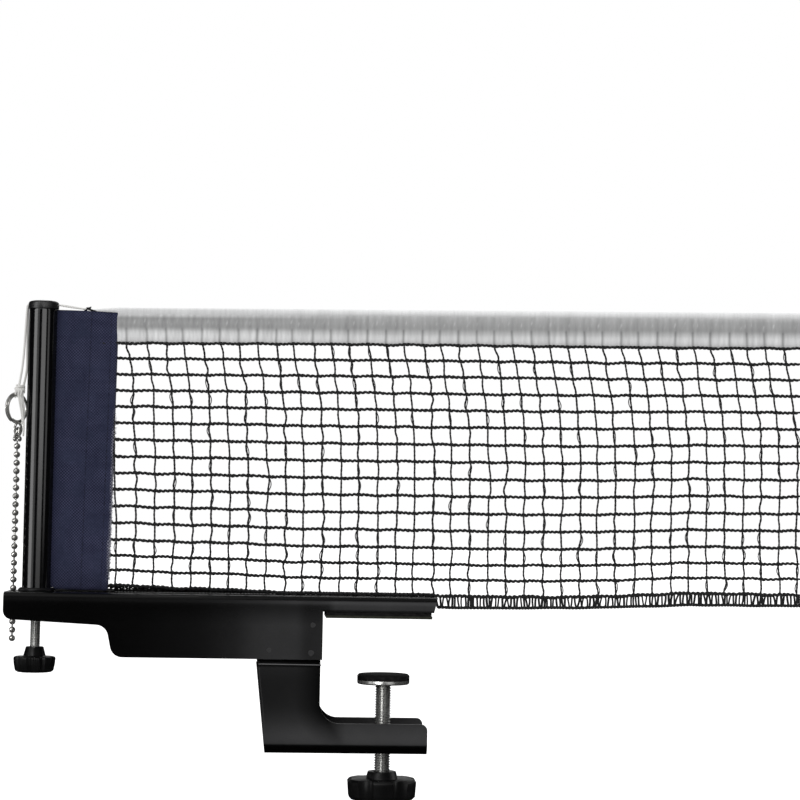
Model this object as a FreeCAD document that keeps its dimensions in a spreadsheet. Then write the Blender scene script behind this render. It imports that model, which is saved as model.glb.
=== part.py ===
import FreeCAD, Part
import os
import Sketcher
from FreeCAD import Rotation, Vector

# Net clamp for a table tennis table: one end of the net, with the end length of the net itself.
# Frame: origin in the throat, on the plane of the table's playing surface. +X runs from the
# side edge of the table towards its centre, +Z is up, Y = 0 is the plane of the net.

# ---------------------------------------------------------------- driving dimensions (mm)
# Places on the -X side and below the playing surface are stored as positive distances.
DIMS = dict(
    # small clearances: between fitted pieces, and between faces that all but touch
    fit_gap=0.05, touch_gap=0.02,
    # pressed steel upper bracket
    bracket_width=36.0, sheet_thick=1.5, bend_radius=3.0,
    plate_top=10.5, outer_end=155.0, tongue_end=56.3, tongue_end_low=54.4,
    tongue_skirt=3.1, deep_skirt=20.4, arm_skirt_end=2.6, arm_skirt_step=5.1,
    step_top_x=105.2, step_low_x=102.0, step_radius=6.0, end_radius=4.5,
    post_x=141.1, bush_hole_radius=8.0,
    chain_x=152.4, chain_slot_half=1.15,
    # welded lower jaw
    jaw_top=21.7, jaw_back_top=32.2, jaw_back_low=27.3, jaw_bottom=66.0,
    jaw_throat=0.8, jaw_arm_top=51.2, jaw_arm_end=52.0, jaw_throat_radius=9.8,
    jaw_bend_radius=4.5, tab_half=16.45, tab_back=30.0, tab_top=9.0,
    jaw_nut_x=31.0, jaw_hole_radius=4.3,
    # pads under the tongue
    pad_start=1.5, pad_block_low=1.4, pad_block_inset=1.2, pad_width_cut=0.8,
    grip_strip_top=1.35, grip_strip_inset=0.8,
    # clamp spindle, plate and knob
    spindle_radius=4.0, spindle_nut_gap=0.05, nut_flats=13.0, nut_thick=6.4,
    spindle_shoulder=33.05, spindle_low=84.0, neck_radius=2.5, neck_top=29.5,
    clip_bottom=30.95, clip_thick=0.8, clip_radius=4.4, clip_groove_radius=2.2,
    clip_gap_half=1.4,
    press_radius=13.0, press_plate_low=33.0, press_plate_thick=2.0, press_pad_top=28.0,
    clamp_knob_top=76.0, clamp_knob_wheel_top=79.5, clamp_knob_low=89.5,
    clamp_knob_radius=17.5, clamp_knob_hub=8.0, clamp_lobe_cut=5.0, clamp_lobes=6,
    # height screw and knob
    height_screw_radius=2.5, height_screw_tip=5.9, height_screw_low=25.2,
    height_hub_top=16.7, height_hub_top_radius=4.3, height_wheel_top=21.5,
    height_hub_low_radius=5.4, height_wheel_radius=10.3, height_wheel_low_radius=9.4,
    height_wheel_low=29.2, height_lobe_cut=1.6, height_lobes=9, thread_gap=0.05,
    # cross strap that carries the height screw
    strap_low=2.55, strap_thick=2.0, strap_half_len=7.0, strap_collar_radius=4.6,
    strap_collar_top=5.0, strap_tab_top=4.0,
    # post
    post_radius=7.1, post_bore=5.7, post_low=0.3, post_top=150.0,
    post_slot_half=1.5, post_slot_low=13.8,
    bush_flange_radius=8.9, bush_flange_top=12.2, bush_radius=7.9, bush_low=4.0, bush_bore=7.15,
    cap_radius=7.5, cap_top=154.0, cap_plug_radius=5.65, cap_plug_low=149.0,
    cap_groove_half=1.0, cap_groove_low=151.6,
    plug_low=5.95, plug_top=13.5, plug_radius=5.65,
    rod_radius=2.2, rod_low=14.6, rod_top=148.2,
    # net, square to the post; the net line climbs slightly towards the table's centre
    net_end=241.0, sleeve_start=2.6, sleeve_right=104.2, sleeve_right_low=106.0,
    sleeve_top=149.2, sleeve_low=11.9, sleeve_half=0.8, hem_radius=3.5,
    tape_half=1.2, tape_top_left=151.4, tape_top_right=156.4,
    tape_low_left=134.3, tape_low_right=138.7, mesh_half=0.5, selvage_half=0.8,
    selvage_low=5.4, selvage_low_right=9.1, selvage_top=11.4, selvage_top_right=14.3,
    # cord, ring and bead chain
    cord_radius=0.7, ring_radius=6.75, ring_wire=1.0, ring_height=100.6, ring_turn=49.0,
    ring_x=153.4, knot_x=152.3, knot_radius=1.9,
    bead_radius=1.55, bead_pitch=4.11, bead_tail_pitch=4.1, link_radius=0.45,
    chain_top=81.7, chain_count=18, tail_top=7.7, tail_count=6,
    clasp_top=92.7, clasp_low=84.0, clasp_radius=2.0,
)

doc = FreeCAD.newDocument("net_clamp")
sheet = doc.addObject("Spreadsheet::Sheet", "dims")
for row, (alias, number) in enumerate(DIMS.items(), start=1):
    sheet.set("A%d" % row, alias)
    sheet.set("B%d" % row, str(number))
    sheet.setAlias("B%d" % row, alias)
doc.recompute()

pieces = []


# ---------------------------------------------------------------- expressions
# Sizes are passed as text such as "plate_top-sheet_thick", in the words of the sheet.
def size(expression):
    """Number for an expression of aliases and numbers joined by + - * only."""
    total = 0.0
    for term in expression.replace("-", "+-").split("+"):
        if not term:
            continue
        product = -1.0 if term.startswith("-") else 1.0
        for factor in term.lstrip("-").split("*"):
            product *= DIMS[factor] if factor in DIMS else float(factor)
        total += product
    return total


def linked(expression):
    """The same expression with every alias turned into a sheet reference."""
    for mark in "+-*/()":
        expression = expression.replace(mark, " %s " % mark)
    return "".join("dims." + word if word in DIMS else word for word in expression.split())


def bind(item, prop, expression):
    item.setExpression(prop, linked(expression))


def place(item, x, z=None):
    """Stand a piece on its own axis in the net plane."""
    bind(item, "Placement.Base.x", x)
    if z:
        bind(item, "Placement.Base.z", z)


# ---------------------------------------------------------------- sketches
def new_body(label):
    body = doc.addObject("PartDesign::Body", label)
    pieces.append(body)
    return body


def new_sketch(body, name, role):
    sketch = body.newObject("Sketcher::SketchObject", name)
    support = [item for item in body.Origin.OriginFeatures if item.Role == role][0]
    sketch.AttachmentSupport = [(support, "")]
    sketch.MapMode = "FlatFace"
    return sketch


def dimension(sketch, expression, kind, *geometry):
    """Add a constraint whose value follows the sheet."""
    constraint = Sketcher.Constraint(kind, *geometry, size(expression))
    index = sketch.addConstraint(constraint)
    bind(sketch, "Constraints[%d]" % index, expression)


def locate(sketch, geometry, point, across, up):
    """Dimension a point from the origin, or hold it on an axis where the text is "0"."""
    for kind, axis, expression in (("DistanceX", -2, across), ("DistanceY", -1, up)):
        if expression == "0":
            sketch.addConstraint(Sketcher.Constraint("PointOnObject", geometry, point, axis))
        else:
            dimension(sketch, expression, kind, -1, 1, geometry, point)


def polygon(body, name, points, role="XZ_Plane"):
    """Closed polygon; points are (across, up) in the sketch plane."""
    sketch = new_sketch(body, name, role)
    corners = [Vector(size(across), size(up), 0) for across, up in points]
    count = len(corners)
    for i in range(count):
        sketch.addGeometry(Part.LineSegment(corners[i], corners[(i + 1) % count]), False)
    for i in range(count):
        sketch.addConstraint(Sketcher.Constraint("Coincident", i, 2, (i + 1) % count, 1))
    for i, (across, up) in enumerate(points):
        locate(sketch, i, 1, across, up)
    return sketch


def circle(body, name, radius, x="0"):
    """Horizontal circle centred in the net plane."""
    sketch = new_sketch(body, name, "XY_Plane")
    outline = Part.Circle(Vector(size(x), 0, 0), Vector(0, 0, 1), size(radius))
    index = sketch.addGeometry(outline, False)
    if x == "0":
        sketch.addConstraint(Sketcher.Constraint("Coincident", index, 3, -1, 1))
    else:
        locate(sketch, index, 3, x, "0")
    dimension(sketch, radius, "Radius", index)
    return sketch


# ---------------------------------------------------------------- solid features
def extrude(body, kind, name, sketch, width):
    """Pad or pocket, half the width to each side of the sketch."""
    feature = body.newObject("PartDesign::" + kind, name)
    feature.Profile = sketch
    feature.Type = "Length"
    # releases without SideType call the same choice Midplane
    if hasattr(feature, "SideType"):
        feature.SideType = "Symmetric"
    else:
        feature.Midplane = True
    bind(feature, "Length", width)
    doc.recompute()
    return feature


def pad(body, name, points, width, role="XZ_Plane"):
    extrude(body, "Pad", name, polygon(body, name + "_profile", points, role), width)


def pocket(body, name, sketch, width):
    before = body.Shape.Volume
    feature = extrude(body, "Pocket", name + "_cut", sketch, width)
    if not body.Shape.Volume < before - 1e-6:
        raise RuntimeError(name + " cut nothing")
    return feature


def slot(body, name, points, width, role="XZ_Plane"):
    pocket(body, name, polygon(body, name, points, role), width)


def hole(body, name, radius, width, x="0"):
    return pocket(body, name, circle(body, name, radius, x), width)


def revolve(body, name, points):
    """Turn a profile of (radius, z) points about the Z axis."""
    sketch = polygon(body, name + "_profile", points)
    feature = body.newObject("PartDesign::Revolution", name + "_turned")
    feature.Profile = sketch
    feature.ReferenceAxis = (sketch, ["V_Axis"])
    feature.Angle = 360.0
    doc.recompute()


def turned_body(label, points):
    body = new_body(label)
    revolve(body, label, points)
    return body


def near(a, b):
    return abs(a - b) < 0.02


def cross_edge(x, z):
    """Picks edges whose middle lies at x, z."""
    return lambda middle, run: near(middle.x, size(x)) and near(middle.z, size(z))


def long_edge(half_width, z, least_run):
    """Picks edges at both sides, at height z, that run further than least_run along X."""
    return lambda middle, run: (
        near(abs(middle.y), size(half_width)) and near(middle.z, size(z)) and run > least_run)


def fillet(body, name, chosen, radius):
    base = body.Tip
    edges = []
    for i, edge in enumerate(base.Shape.Edges, start=1):
        middle = edge.valueAt((edge.FirstParameter + edge.LastParameter) / 2.0)
        run = abs(edge.Vertexes[0].X - edge.Vertexes[-1].X)
        if chosen(middle, run):
            edges.append("Edge%d" % i)
    if not edges:
        raise RuntimeError(name + " found no edge")
    feature = body.newObject("PartDesign::Fillet", name)
    feature.Base = (base, edges)
    bind(feature, "Radius", radius)
    doc.recompute()


def scallop(body, name, x, radius, count, width):
    """Ring of equal upright grooves round the rim of a knob."""
    groove = hole(body, name, radius, width, x)
    ring = body.newObject("PartDesign::PolarPattern", name + "_ring")
    ring.Originals = [groove]
    ring.Axis = (groove.Profile[0], ["N_Axis"])
    ring.Angle = 360
    bind(ring, "Occurrences", count)
    body.Tip = ring
    doc.recompute()


# ---------------------------------------------------------------- upper bracket
# One pressed channel: a flat top plate with a skirt down each side. The skirt is shallow along
# the outer arm, steps down to a deep skirt near the table, and is shallow again on the tongue.
body = new_body("upper_bracket")
pad(body, "bracket_block", [
    ("-outer_end", "plate_top"), ("tongue_end", "plate_top"),
    ("tongue_end_low", "tongue_skirt"), ("0", "tongue_skirt"),
    ("0", "-deep_skirt"), ("-step_low_x", "-deep_skirt"),
    ("-step_top_x", "-arm_skirt_step"), ("-outer_end", "-arm_skirt_end"),
], "bracket_width")
for name, x, z, radius in (
    ("step_outer_round", "-step_low_x", "-deep_skirt", "step_radius"),
    ("step_inner_round", "-step_top_x", "-arm_skirt_step", "step_radius"),
    ("end_round", "-outer_end", "-arm_skirt_end", "end_radius"),
):
    fillet(body, name, cross_edge(x, z), radius)
fillet(body, "long_bends", long_edge("bracket_width*0.5", "plate_top", 100), "bend_radius")
slot(body, "channel_hollow", [
    ("-outer_end-10", "plate_top-sheet_thick"), ("tongue_end+10", "plate_top-sheet_thick"),
    ("tongue_end+10", "-deep_skirt-10"), ("-outer_end-10", "-deep_skirt-10"),
], "bracket_width-2*sheet_thick")
fillet(body, "inner_bends",
       long_edge("bracket_width*0.5-sheet_thick", "plate_top-sheet_thick", 100),
       "bend_radius-sheet_thick")
hole(body, "bush_hole", "bush_hole_radius", "4*plate_top", x="-post_x")
# slot, open at the outer end, that locks the bead chain between two beads
slot(body, "chain_slot", [
    ("-outer_end-5", "chain_slot_half"), ("-chain_x", "chain_slot_half"),
    ("-chain_x", "-chain_slot_half"), ("-outer_end-5", "-chain_slot_half"),
], "4*plate_top", "XY_Plane")
hole(body, "chain_slot_end", "chain_slot_half", "4*plate_top", x="-chain_x")

# ---------------------------------------------------------------- lower jaw frame
# Pan-shaped pressing: two side plates, a back wall and a floor. Its upper tabs stand inside the
# bracket's skirts, where they are spot welded, and joggle outwards below them.
body = new_body("lower_jaw_frame")
pad(body, "tab_block", [
    ("-tab_back", "-tab_top"), ("-tab_back", "-jaw_top-2"), ("-jaw_throat", "-jaw_top-2"),
    ("-jaw_throat", "1"), ("-tab_top", "1"), ("-tab_top-6", "-tab_top"),
], "2*tab_half")
pad(body, "jaw_block", [
    ("-jaw_back_top", "-jaw_top"), ("-jaw_throat", "-jaw_top"),
    ("-jaw_throat", "-jaw_arm_top"), ("jaw_arm_end", "-jaw_arm_top"),
    ("jaw_arm_end", "-jaw_bottom"), ("-jaw_back_low", "-jaw_bottom"),
], "bracket_width")
fillet(body, "throat_round", cross_edge("-jaw_throat", "-jaw_arm_top"), "jaw_throat_radius")
fillet(body, "floor_bends", long_edge("bracket_width*0.5", "-jaw_bottom", 30),
       "jaw_bend_radius")
fillet(body, "arm_end_round", cross_edge("jaw_arm_end", "-jaw_arm_top"), "bend_radius")
# the sloping back wall is set in by a little over the sheet's thickness along X
slot(body, "jaw_hollow_low", [
    ("-jaw_back_top+sheet_thick*1.1", "-jaw_top-sheet_thick"),
    ("jaw_arm_end+5", "-jaw_top-sheet_thick"),
    ("jaw_arm_end+5", "-jaw_bottom+sheet_thick"),
    ("-jaw_back_low+sheet_thick*1.1", "-jaw_bottom+sheet_thick"),
], "bracket_width-2*sheet_thick")
slot(body, "jaw_hollow_high", [
    ("-jaw_back_top-5", "5"), ("10", "5"),
    ("10", "-jaw_top-sheet_thick-1"), ("-jaw_back_top-5", "-jaw_top-sheet_thick-1"),
], "2*(tab_half-sheet_thick)")
fillet(body, "floor_inner_bends",
       long_edge("bracket_width*0.5-sheet_thick", "-jaw_bottom+sheet_thick", 30),
       "jaw_bend_radius-sheet_thick")
hole(body, "spindle_hole", "jaw_hole_radius", "4*jaw_bottom", x="jaw_nut_x")


# ---------------------------------------------------------------- pads under the tongue
def tongue_slab(low, high, inset):
    """Side outline of a slab that stops short of the tongue's end."""
    end = "tongue_end_low-" + inset
    return [("pad_start", low), (end, low), (end, high), ("pad_start", high)]


# a stiff block fills the channel; its wider foot stands a little below the skirts
body = new_body("tongue_pad_block")
block_top = "plate_top-sheet_thick-fit_gap"
pad(body, "pad_block", tongue_slab("pad_block_low", block_top, "pad_block_inset"),
    "bracket_width-2*sheet_thick-0.2")
fillet(body, "pad_block_bends",
       long_edge("bracket_width*0.5-sheet_thick-0.1", block_top, 40),
       "bend_radius-sheet_thick+0.1")
pad(body, "pad_block_foot",
    tongue_slab("pad_block_low", "tongue_skirt-fit_gap", "pad_block_inset"),
    "bracket_width-pad_width_cut")

# the grip strip is glued under the block
body = new_body("tongue_grip_strip")
pad(body, "grip_strip", tongue_slab("0", "grip_strip_top", "grip_strip_inset"),
    "bracket_width-pad_width_cut")

# ---------------------------------------------------------------- weld nut of the clamp spindle
prism = doc.addObject("Part::Prism", "nut_prism")
prism.Polygon = 6
bind(prism, "Circumradius", "nut_flats/sqrt(3)")
bind(prism, "Height", "nut_thick")
place(prism, "jaw_nut_x", "-jaw_bottom+sheet_thick+touch_gap")
bore = doc.addObject("Part::Cylinder", "nut_bore")
bind(bore, "Radius", "spindle_radius+spindle_nut_gap")
bind(bore, "Height", "nut_thick+10")
place(bore, "jaw_nut_x", "-jaw_bottom")
weld_nut = doc.addObject("Part::Cut", "clamp_weld_nut")
weld_nut.Base = prism
weld_nut.Tool = bore
pieces.append(weld_nut)

# ---------------------------------------------------------------- clamp spindle
# In the turned profiles, small numbers added to a radius or height break the edges.
body = turned_body("clamp_spindle", [
    ("0", "-neck_top"), ("neck_radius-0.3", "-neck_top"), ("neck_radius", "-neck_top-0.3"),
    ("neck_radius", "-clip_bottom+clip_thick+fit_gap"),
    ("clip_groove_radius", "-clip_bottom+clip_thick+fit_gap"),
    ("clip_groove_radius", "-clip_bottom-fit_gap"), ("neck_radius", "-clip_bottom-fit_gap"),
    ("neck_radius", "-spindle_shoulder"), ("spindle_radius-0.4", "-spindle_shoulder"),
    ("spindle_radius", "-spindle_shoulder-0.6"),
    ("spindle_radius", "-spindle_low"), ("0", "-spindle_low"),
])
place(body, "jaw_nut_x")

# clip in the groove of the spindle's neck, open towards +X
body = turned_body("spindle_clip", [
    ("clip_groove_radius+fit_gap", "-clip_bottom"), ("clip_radius", "-clip_bottom"),
    ("clip_radius", "-clip_bottom+clip_thick"),
    ("clip_groove_radius+fit_gap", "-clip_bottom+clip_thick"),
])
slot(body, "clip_gap", [
    ("0", "clip_gap_half"), ("10", "clip_gap_half"),
    ("10", "-clip_gap_half"), ("0", "-clip_gap_half"),
], "4*jaw_bottom", "XY_Plane")
place(body, "jaw_nut_x")

body = turned_body("pressure_plate", [
    ("neck_radius+fit_gap", "-press_plate_low"), ("press_radius-0.6", "-press_plate_low"),
    ("press_radius", "-press_plate_low+0.6"),
    ("press_radius", "-press_plate_low+press_plate_thick"),
    ("neck_radius+fit_gap", "-press_plate_low+press_plate_thick"),
])
place(body, "jaw_nut_x")

# pad on top of the plate, hollow underneath to clear the clip and the spindle's end
body = turned_body("pressure_pad", [
    ("0", "-press_pad_top"), ("press_radius-0.8", "-press_pad_top"),
    ("press_radius", "-press_pad_top-0.8"),
    ("press_radius", "-press_plate_low+press_plate_thick+touch_gap"),
    ("clip_radius+0.6", "-press_plate_low+press_plate_thick+touch_gap"),
    ("clip_radius+0.6", "-neck_top+0.4"), ("0", "-neck_top+0.4"),
])
place(body, "jaw_nut_x")

# ---------------------------------------------------------------- knobs
body = turned_body("clamp_knob", [
    ("0", "-spindle_low-fit_gap"), ("spindle_radius+fit_gap", "-spindle_low-fit_gap"),
    ("spindle_radius+fit_gap", "-clamp_knob_top"), ("clamp_knob_hub-1", "-clamp_knob_top"),
    ("clamp_knob_hub", "-clamp_knob_wheel_top"),
    ("clamp_knob_radius-1", "-clamp_knob_wheel_top"),
    ("clamp_knob_radius", "-clamp_knob_wheel_top-1.2"),
    ("clamp_knob_radius-0.6", "-clamp_knob_low+1.5"),
    ("clamp_knob_radius-2.2", "-clamp_knob_low"), ("0", "-clamp_knob_low"),
])
scallop(body, "clamp_lobe", "clamp_knob_radius+clamp_lobe_cut*0.42", "clamp_lobe_cut",
        "clamp_lobes", "4*jaw_bottom")
place(body, "jaw_nut_x")

body = turned_body("height_knob", [
    ("0", "-height_screw_low-fit_gap"),
    ("height_screw_radius+fit_gap", "-height_screw_low-fit_gap"),
    ("height_screw_radius+fit_gap", "-height_hub_top"),
    ("height_hub_top_radius", "-height_hub_top"),
    ("height_hub_low_radius", "-height_wheel_top"),
    ("height_wheel_radius-0.5", "-height_wheel_top"),
    ("height_wheel_radius", "-height_wheel_top-0.6"),
    ("height_wheel_low_radius", "-height_wheel_low+0.9"),
    ("height_wheel_low_radius-0.9", "-height_wheel_low"), ("0", "-height_wheel_low"),
])
scallop(body, "height_lobe", "height_wheel_radius+height_lobe_cut*0.45", "height_lobe_cut",
        "height_lobes", "8*plate_top")
place(body, "-post_x")

# ---------------------------------------------------------------- height screw and its strap
body = turned_body("height_screw", [
    ("0", "height_screw_tip"), ("height_screw_radius-0.7", "height_screw_tip"),
    ("height_screw_radius", "height_screw_tip-0.7"),
    ("height_screw_radius", "-height_screw_low"), ("0", "-height_screw_low"),
])
place(body, "-post_x")

# strap across the channel with turned-up ends, and a threaded collar in its middle
body = new_body("height_screw_strap")
pad(body, "strap_bent", [
    ("-tab_half", "-strap_low"), ("tab_half", "-strap_low"),
    ("tab_half", "strap_tab_top"), ("tab_half-sheet_thick", "strap_tab_top"),
    ("tab_half-sheet_thick", "-strap_low+strap_thick"),
    ("-tab_half+sheet_thick", "-strap_low+strap_thick"),
    ("-tab_half+sheet_thick", "strap_tab_top"), ("-tab_half", "strap_tab_top"),
], "2*strap_half_len", "YZ_Plane")
revolve(body, "strap_collar", [
    ("0", "-strap_low"), ("strap_collar_radius", "-strap_low"),
    ("strap_collar_radius", "strap_collar_top-0.5"),
    ("strap_collar_radius-0.5", "strap_collar_top"), ("0", "strap_collar_top"),
])
hole(body, "strap_thread", "height_screw_radius+thread_gap", "8*plate_top")
place(body, "-post_x")

# ---------------------------------------------------------------- post, its bush, plug and cap
body = turned_body("post_bush", [
    ("bush_bore", "bush_low"), ("bush_radius", "bush_low"),
    ("bush_radius", "plate_top+touch_gap"), ("bush_flange_radius", "plate_top+touch_gap"),
    ("bush_flange_radius", "bush_flange_top-0.8"),
    ("bush_flange_radius-0.8", "bush_flange_top"), ("bush_bore", "bush_flange_top"),
])
place(body, "-post_x")

# tube, slotted on its +X side for the net
body = turned_body("post_tube", [
    ("post_bore", "-post_low"), ("post_radius", "-post_low"),
    ("post_radius", "post_top"), ("post_bore", "post_top"),
])
slot(body, "tube_slot", [
    ("post_bore-3", "post_slot_low"), ("post_radius+3", "post_slot_low"),
    ("post_radius+3", "post_top+5"), ("post_bore-3", "post_top+5"),
], "2*post_slot_half")
place(body, "-post_x")

body = turned_body("post_foot_plug", [
    ("0", "plug_low"), ("plug_radius-0.5", "plug_low"), ("plug_radius", "plug_low+0.5"),
    ("plug_radius", "plug_top"), ("0", "plug_top"),
])
place(body, "-post_x")

# cap with a groove along X for the cord
body = turned_body("post_cap", [
    ("0", "cap_plug_low"), ("cap_plug_radius", "cap_plug_low"),
    ("cap_plug_radius", "post_top+touch_gap"), ("cap_radius", "post_top+touch_gap"),
    ("cap_radius", "cap_top-1.2"), ("cap_radius-0.5", "cap_top-0.4"),
    ("cap_radius-1.6", "cap_top"), ("0", "cap_top"),
])
slot(body, "cap_groove", [
    ("-cap_groove_half", "cap_groove_low"), ("cap_groove_half", "cap_groove_low"),
    ("cap_groove_half", "cap_top+3"), ("-cap_groove_half", "cap_top+3"),
], "4*cap_radius", "YZ_Plane")
place(body, "-post_x")

# rod in the net's end hem, captive inside the post
rod = doc.addObject("Part::Cylinder", "net_hem_rod")
bind(rod, "Radius", "rod_radius")
bind(rod, "Height", "rod_top-rod_low")
place(rod, "-post_x", "rod_low")
pieces.append(rod)

# ---------------------------------------------------------------- net end, as plain soft solids
# sleeve: folded fabric that wraps the hem rod and comes out through the slot of the post
body = new_body("net_sleeve")
pad(body, "sleeve_cloth", [
    ("-post_x+sleeve_start", "rod_low"), ("-post_x+bush_flange_radius+0.6", "rod_low"),
    ("-post_x+bush_flange_radius+0.6", "sleeve_low"), ("-sleeve_right_low", "sleeve_low"),
    ("-sleeve_right", "sleeve_top"), ("-post_x+bush_radius", "sleeve_top"),
    ("-post_x+sleeve_start", "rod_top"),
], "2*sleeve_half")
hem_sketch = circle(body, "hem_outside", "hem_radius", x="-post_x")
hem = body.newObject("PartDesign::Pad", "hem_cloth")
hem.Profile = hem_sketch
hem.Type = "Length"
# releases without SideType have no such choice of two sides
if hasattr(hem, "SideType"):
    hem.SideType = "Two sides"
    hem.Type2 = "Length"
bind(hem, "Length", "rod_top")
# a negative second length starts the hem above the sketch plane, at the rod's foot
bind(hem, "Length2", "-rod_low")
doc.recompute()
hole(body, "hem_hollow", "rod_radius+fit_gap", "4*post_top", x="-post_x")

# flat panels: label, thickness, outline as (x, z)
NET_PANELS = (
    ("net_tape", "2*tape_half", [
        ("-sleeve_right+0.3", "tape_low_left"), ("net_end", "tape_low_right"),
        ("net_end", "tape_top_right"), ("-sleeve_right+0.3", "tape_top_left"),
    ]),
    ("net_mesh", "2*mesh_half", [
        ("-sleeve_right_low+0.4", "13.7"), ("50", "13.4"), ("58", "selvage_top+0.1"),
        ("net_end", "selvage_top_right+0.1"), ("net_end", "tape_low_right-0.1"),
        ("-sleeve_right+0.4", "tape_low_left-0.1"),
    ]),
    # the selvage lies over the bracket, then drops past the end of the tongue
    ("net_selvage", "2*selvage_half", [
        ("-sleeve_right_low+0.4", "plate_top+0.2"), ("tongue_end+0.6", "plate_top+0.2"),
        ("58.5", "selvage_low"), ("net_end", "selvage_low_right"),
        ("net_end", "selvage_top_right"), ("58", "selvage_top"), ("50", "13.3"),
        ("-sleeve_right_low+0.4", "13.6"),
    ]),
)
for label, thickness, outline in NET_PANELS:
    pad(new_body(label), label + "_cloth", outline, thickness)


# ---------------------------------------------------------------- cord, ring and bead chain
def at(x, z):
    """Point in the net plane."""
    return Vector(size(x), 0, size(z))


def fused(shapes):
    whole = shapes[0]
    for shape in shapes[1:]:
        whole = whole.fuse(shape)
    return whole


def add_shape(label, shape):
    item = doc.addObject("Part::Feature", label)
    item.Shape = shape
    pieces.append(item)


def add_cord(label, points):
    """Round cord through (x, z) points, with a ball at each bend."""
    radius = size("cord_radius")
    corners = [at(x, z) for x, z in points]
    shapes = []
    for i in range(len(corners) - 1):
        start = corners[i]
        reach = corners[i + 1] - start
        shapes.append(Part.makeCylinder(radius, reach.Length, start, reach))
        if i:
            shapes.append(Part.makeSphere(radius, start))
    add_shape(label, fused(shapes).removeSplitter())


def add_beads(label, top, pitch, count, wire_low, wire_top):
    """Beads hanging down from the height top, strung on one straight wire."""
    length = size(wire_top) - size(wire_low)
    shapes = [Part.makeCylinder(size("link_radius"), length, at("-chain_x", wire_low))]
    for i in range(DIMS[count]):
        centre = Vector(size("-chain_x"), 0, size(top) - size(pitch) * i)
        shapes.append(Part.makeSphere(size("bead_radius"), centre))
    add_shape(label, fused(shapes))


# over the cap in its groove, then down to the top tape of the net
groove_z = "cap_groove_low+cord_radius+0.1"
add_cord("net_cord", [
    ("-post_x-cap_radius+0.2", groove_z), ("-post_x+cap_radius+0.2", groove_z),
    ("-sleeve_right-12", "sleeve_top+1.6"), ("-sleeve_right+0.2", "sleeve_top+1.4"),
])
# free length between the cap and the knot above the ring
ring_top = "ring_height+ring_radius+ring_wire"
add_cord("tension_cord", [
    ("-post_x-cap_radius-cord_radius-0.1", groove_z + "-0.4"),
    ("-knot_x+0.1", ring_top + "+2*knot_radius+0.5"),
])
knot_centre = at("-knot_x", ring_top + "+knot_radius+0.15")
add_shape("cord_knot", Part.makeSphere(size("knot_radius"), knot_centre))

# upright ring, turned about Z out of the net plane
ring = doc.addObject("Part::Torus", "split_ring")
bind(ring, "Radius1", "ring_radius")
bind(ring, "Radius2", "ring_wire")
upright = Rotation(Vector(0, 1, 0), 90)
turn = Rotation(Vector(0, 0, 1), 90.0 - DIMS["ring_turn"])
ring.Placement = FreeCAD.Placement(Vector(0, 0, 0), turn.multiply(upright))
place(ring, "-ring_x", "ring_height")
pieces.append(ring)

# clasp: a barrel with a short cone below and a longer one above
clasp_radius = size("clasp_radius")
foot_height, foot_radius = 0.6, clasp_radius * 0.55
nose_height, nose_radius = 1.8, 0.9
barrel_height = size("clasp_top-clasp_low") - foot_height - nose_height
foot = at("-chain_x", "clasp_low")
add_shape("chain_clasp", fused([
    Part.makeCylinder(clasp_radius, barrel_height, foot + Vector(0, 0, foot_height)),
    Part.makeCone(foot_radius, clasp_radius, foot_height, foot),
    Part.makeCone(clasp_radius, nose_radius, nose_height,
                  at("-chain_x", "clasp_top") - Vector(0, 0, nose_height)),
]).removeSplitter())

# chain from the clasp down to the bracket, and its tail from the slot downwards
add_beads("bead_chain", "chain_top", "bead_pitch", "chain_count",
          wire_low="tail_top+bead_radius+0.1", wire_top="clasp_low-0.05")
add_beads("chain_tail", "tail_top", "bead_tail_pitch", "tail_count",
          wire_low="tail_top-tail_count*bead_tail_pitch+bead_tail_pitch", wire_top="tail_top")

# ---------------------------------------------------------------- checks and export
doc.recompute()
bad = []
for item in doc.Objects:
    if "Invalid" in item.State or "Error" in item.State:
        bad.append(item.Name + " " + " ".join(item.State))
for piece in pieces:
    if piece.Shape.isNull() or not piece.Shape.isValid():
        bad.append(piece.Label + " has no valid shape")
    elif not piece.Shape.Solids:
        bad.append(piece.Label + " has no solid")
if bad:
    raise RuntimeError("failed objects: " + "; ".join(bad))
os.makedirs("parts", exist_ok=True)
for piece in pieces:
    piece.Shape.exportStep(os.path.join("parts", piece.Label + ".step"))
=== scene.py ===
"""A clamped net post with a length of net.

The post stands at the left end with its bracket, jaw and screws below. The net, top tape and
sleeve run from it along +X in the plane y = 0, a white cord ties the post cap to a split ring,
and a bead chain hangs from the ring. +Z is up and the viewer is on the -Y side.

Meshes are measured in millimetres; materials, lights and camera in metres.
"""

import math

import bpy
import numpy as np
from mathutils import Matrix, Vector

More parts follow.
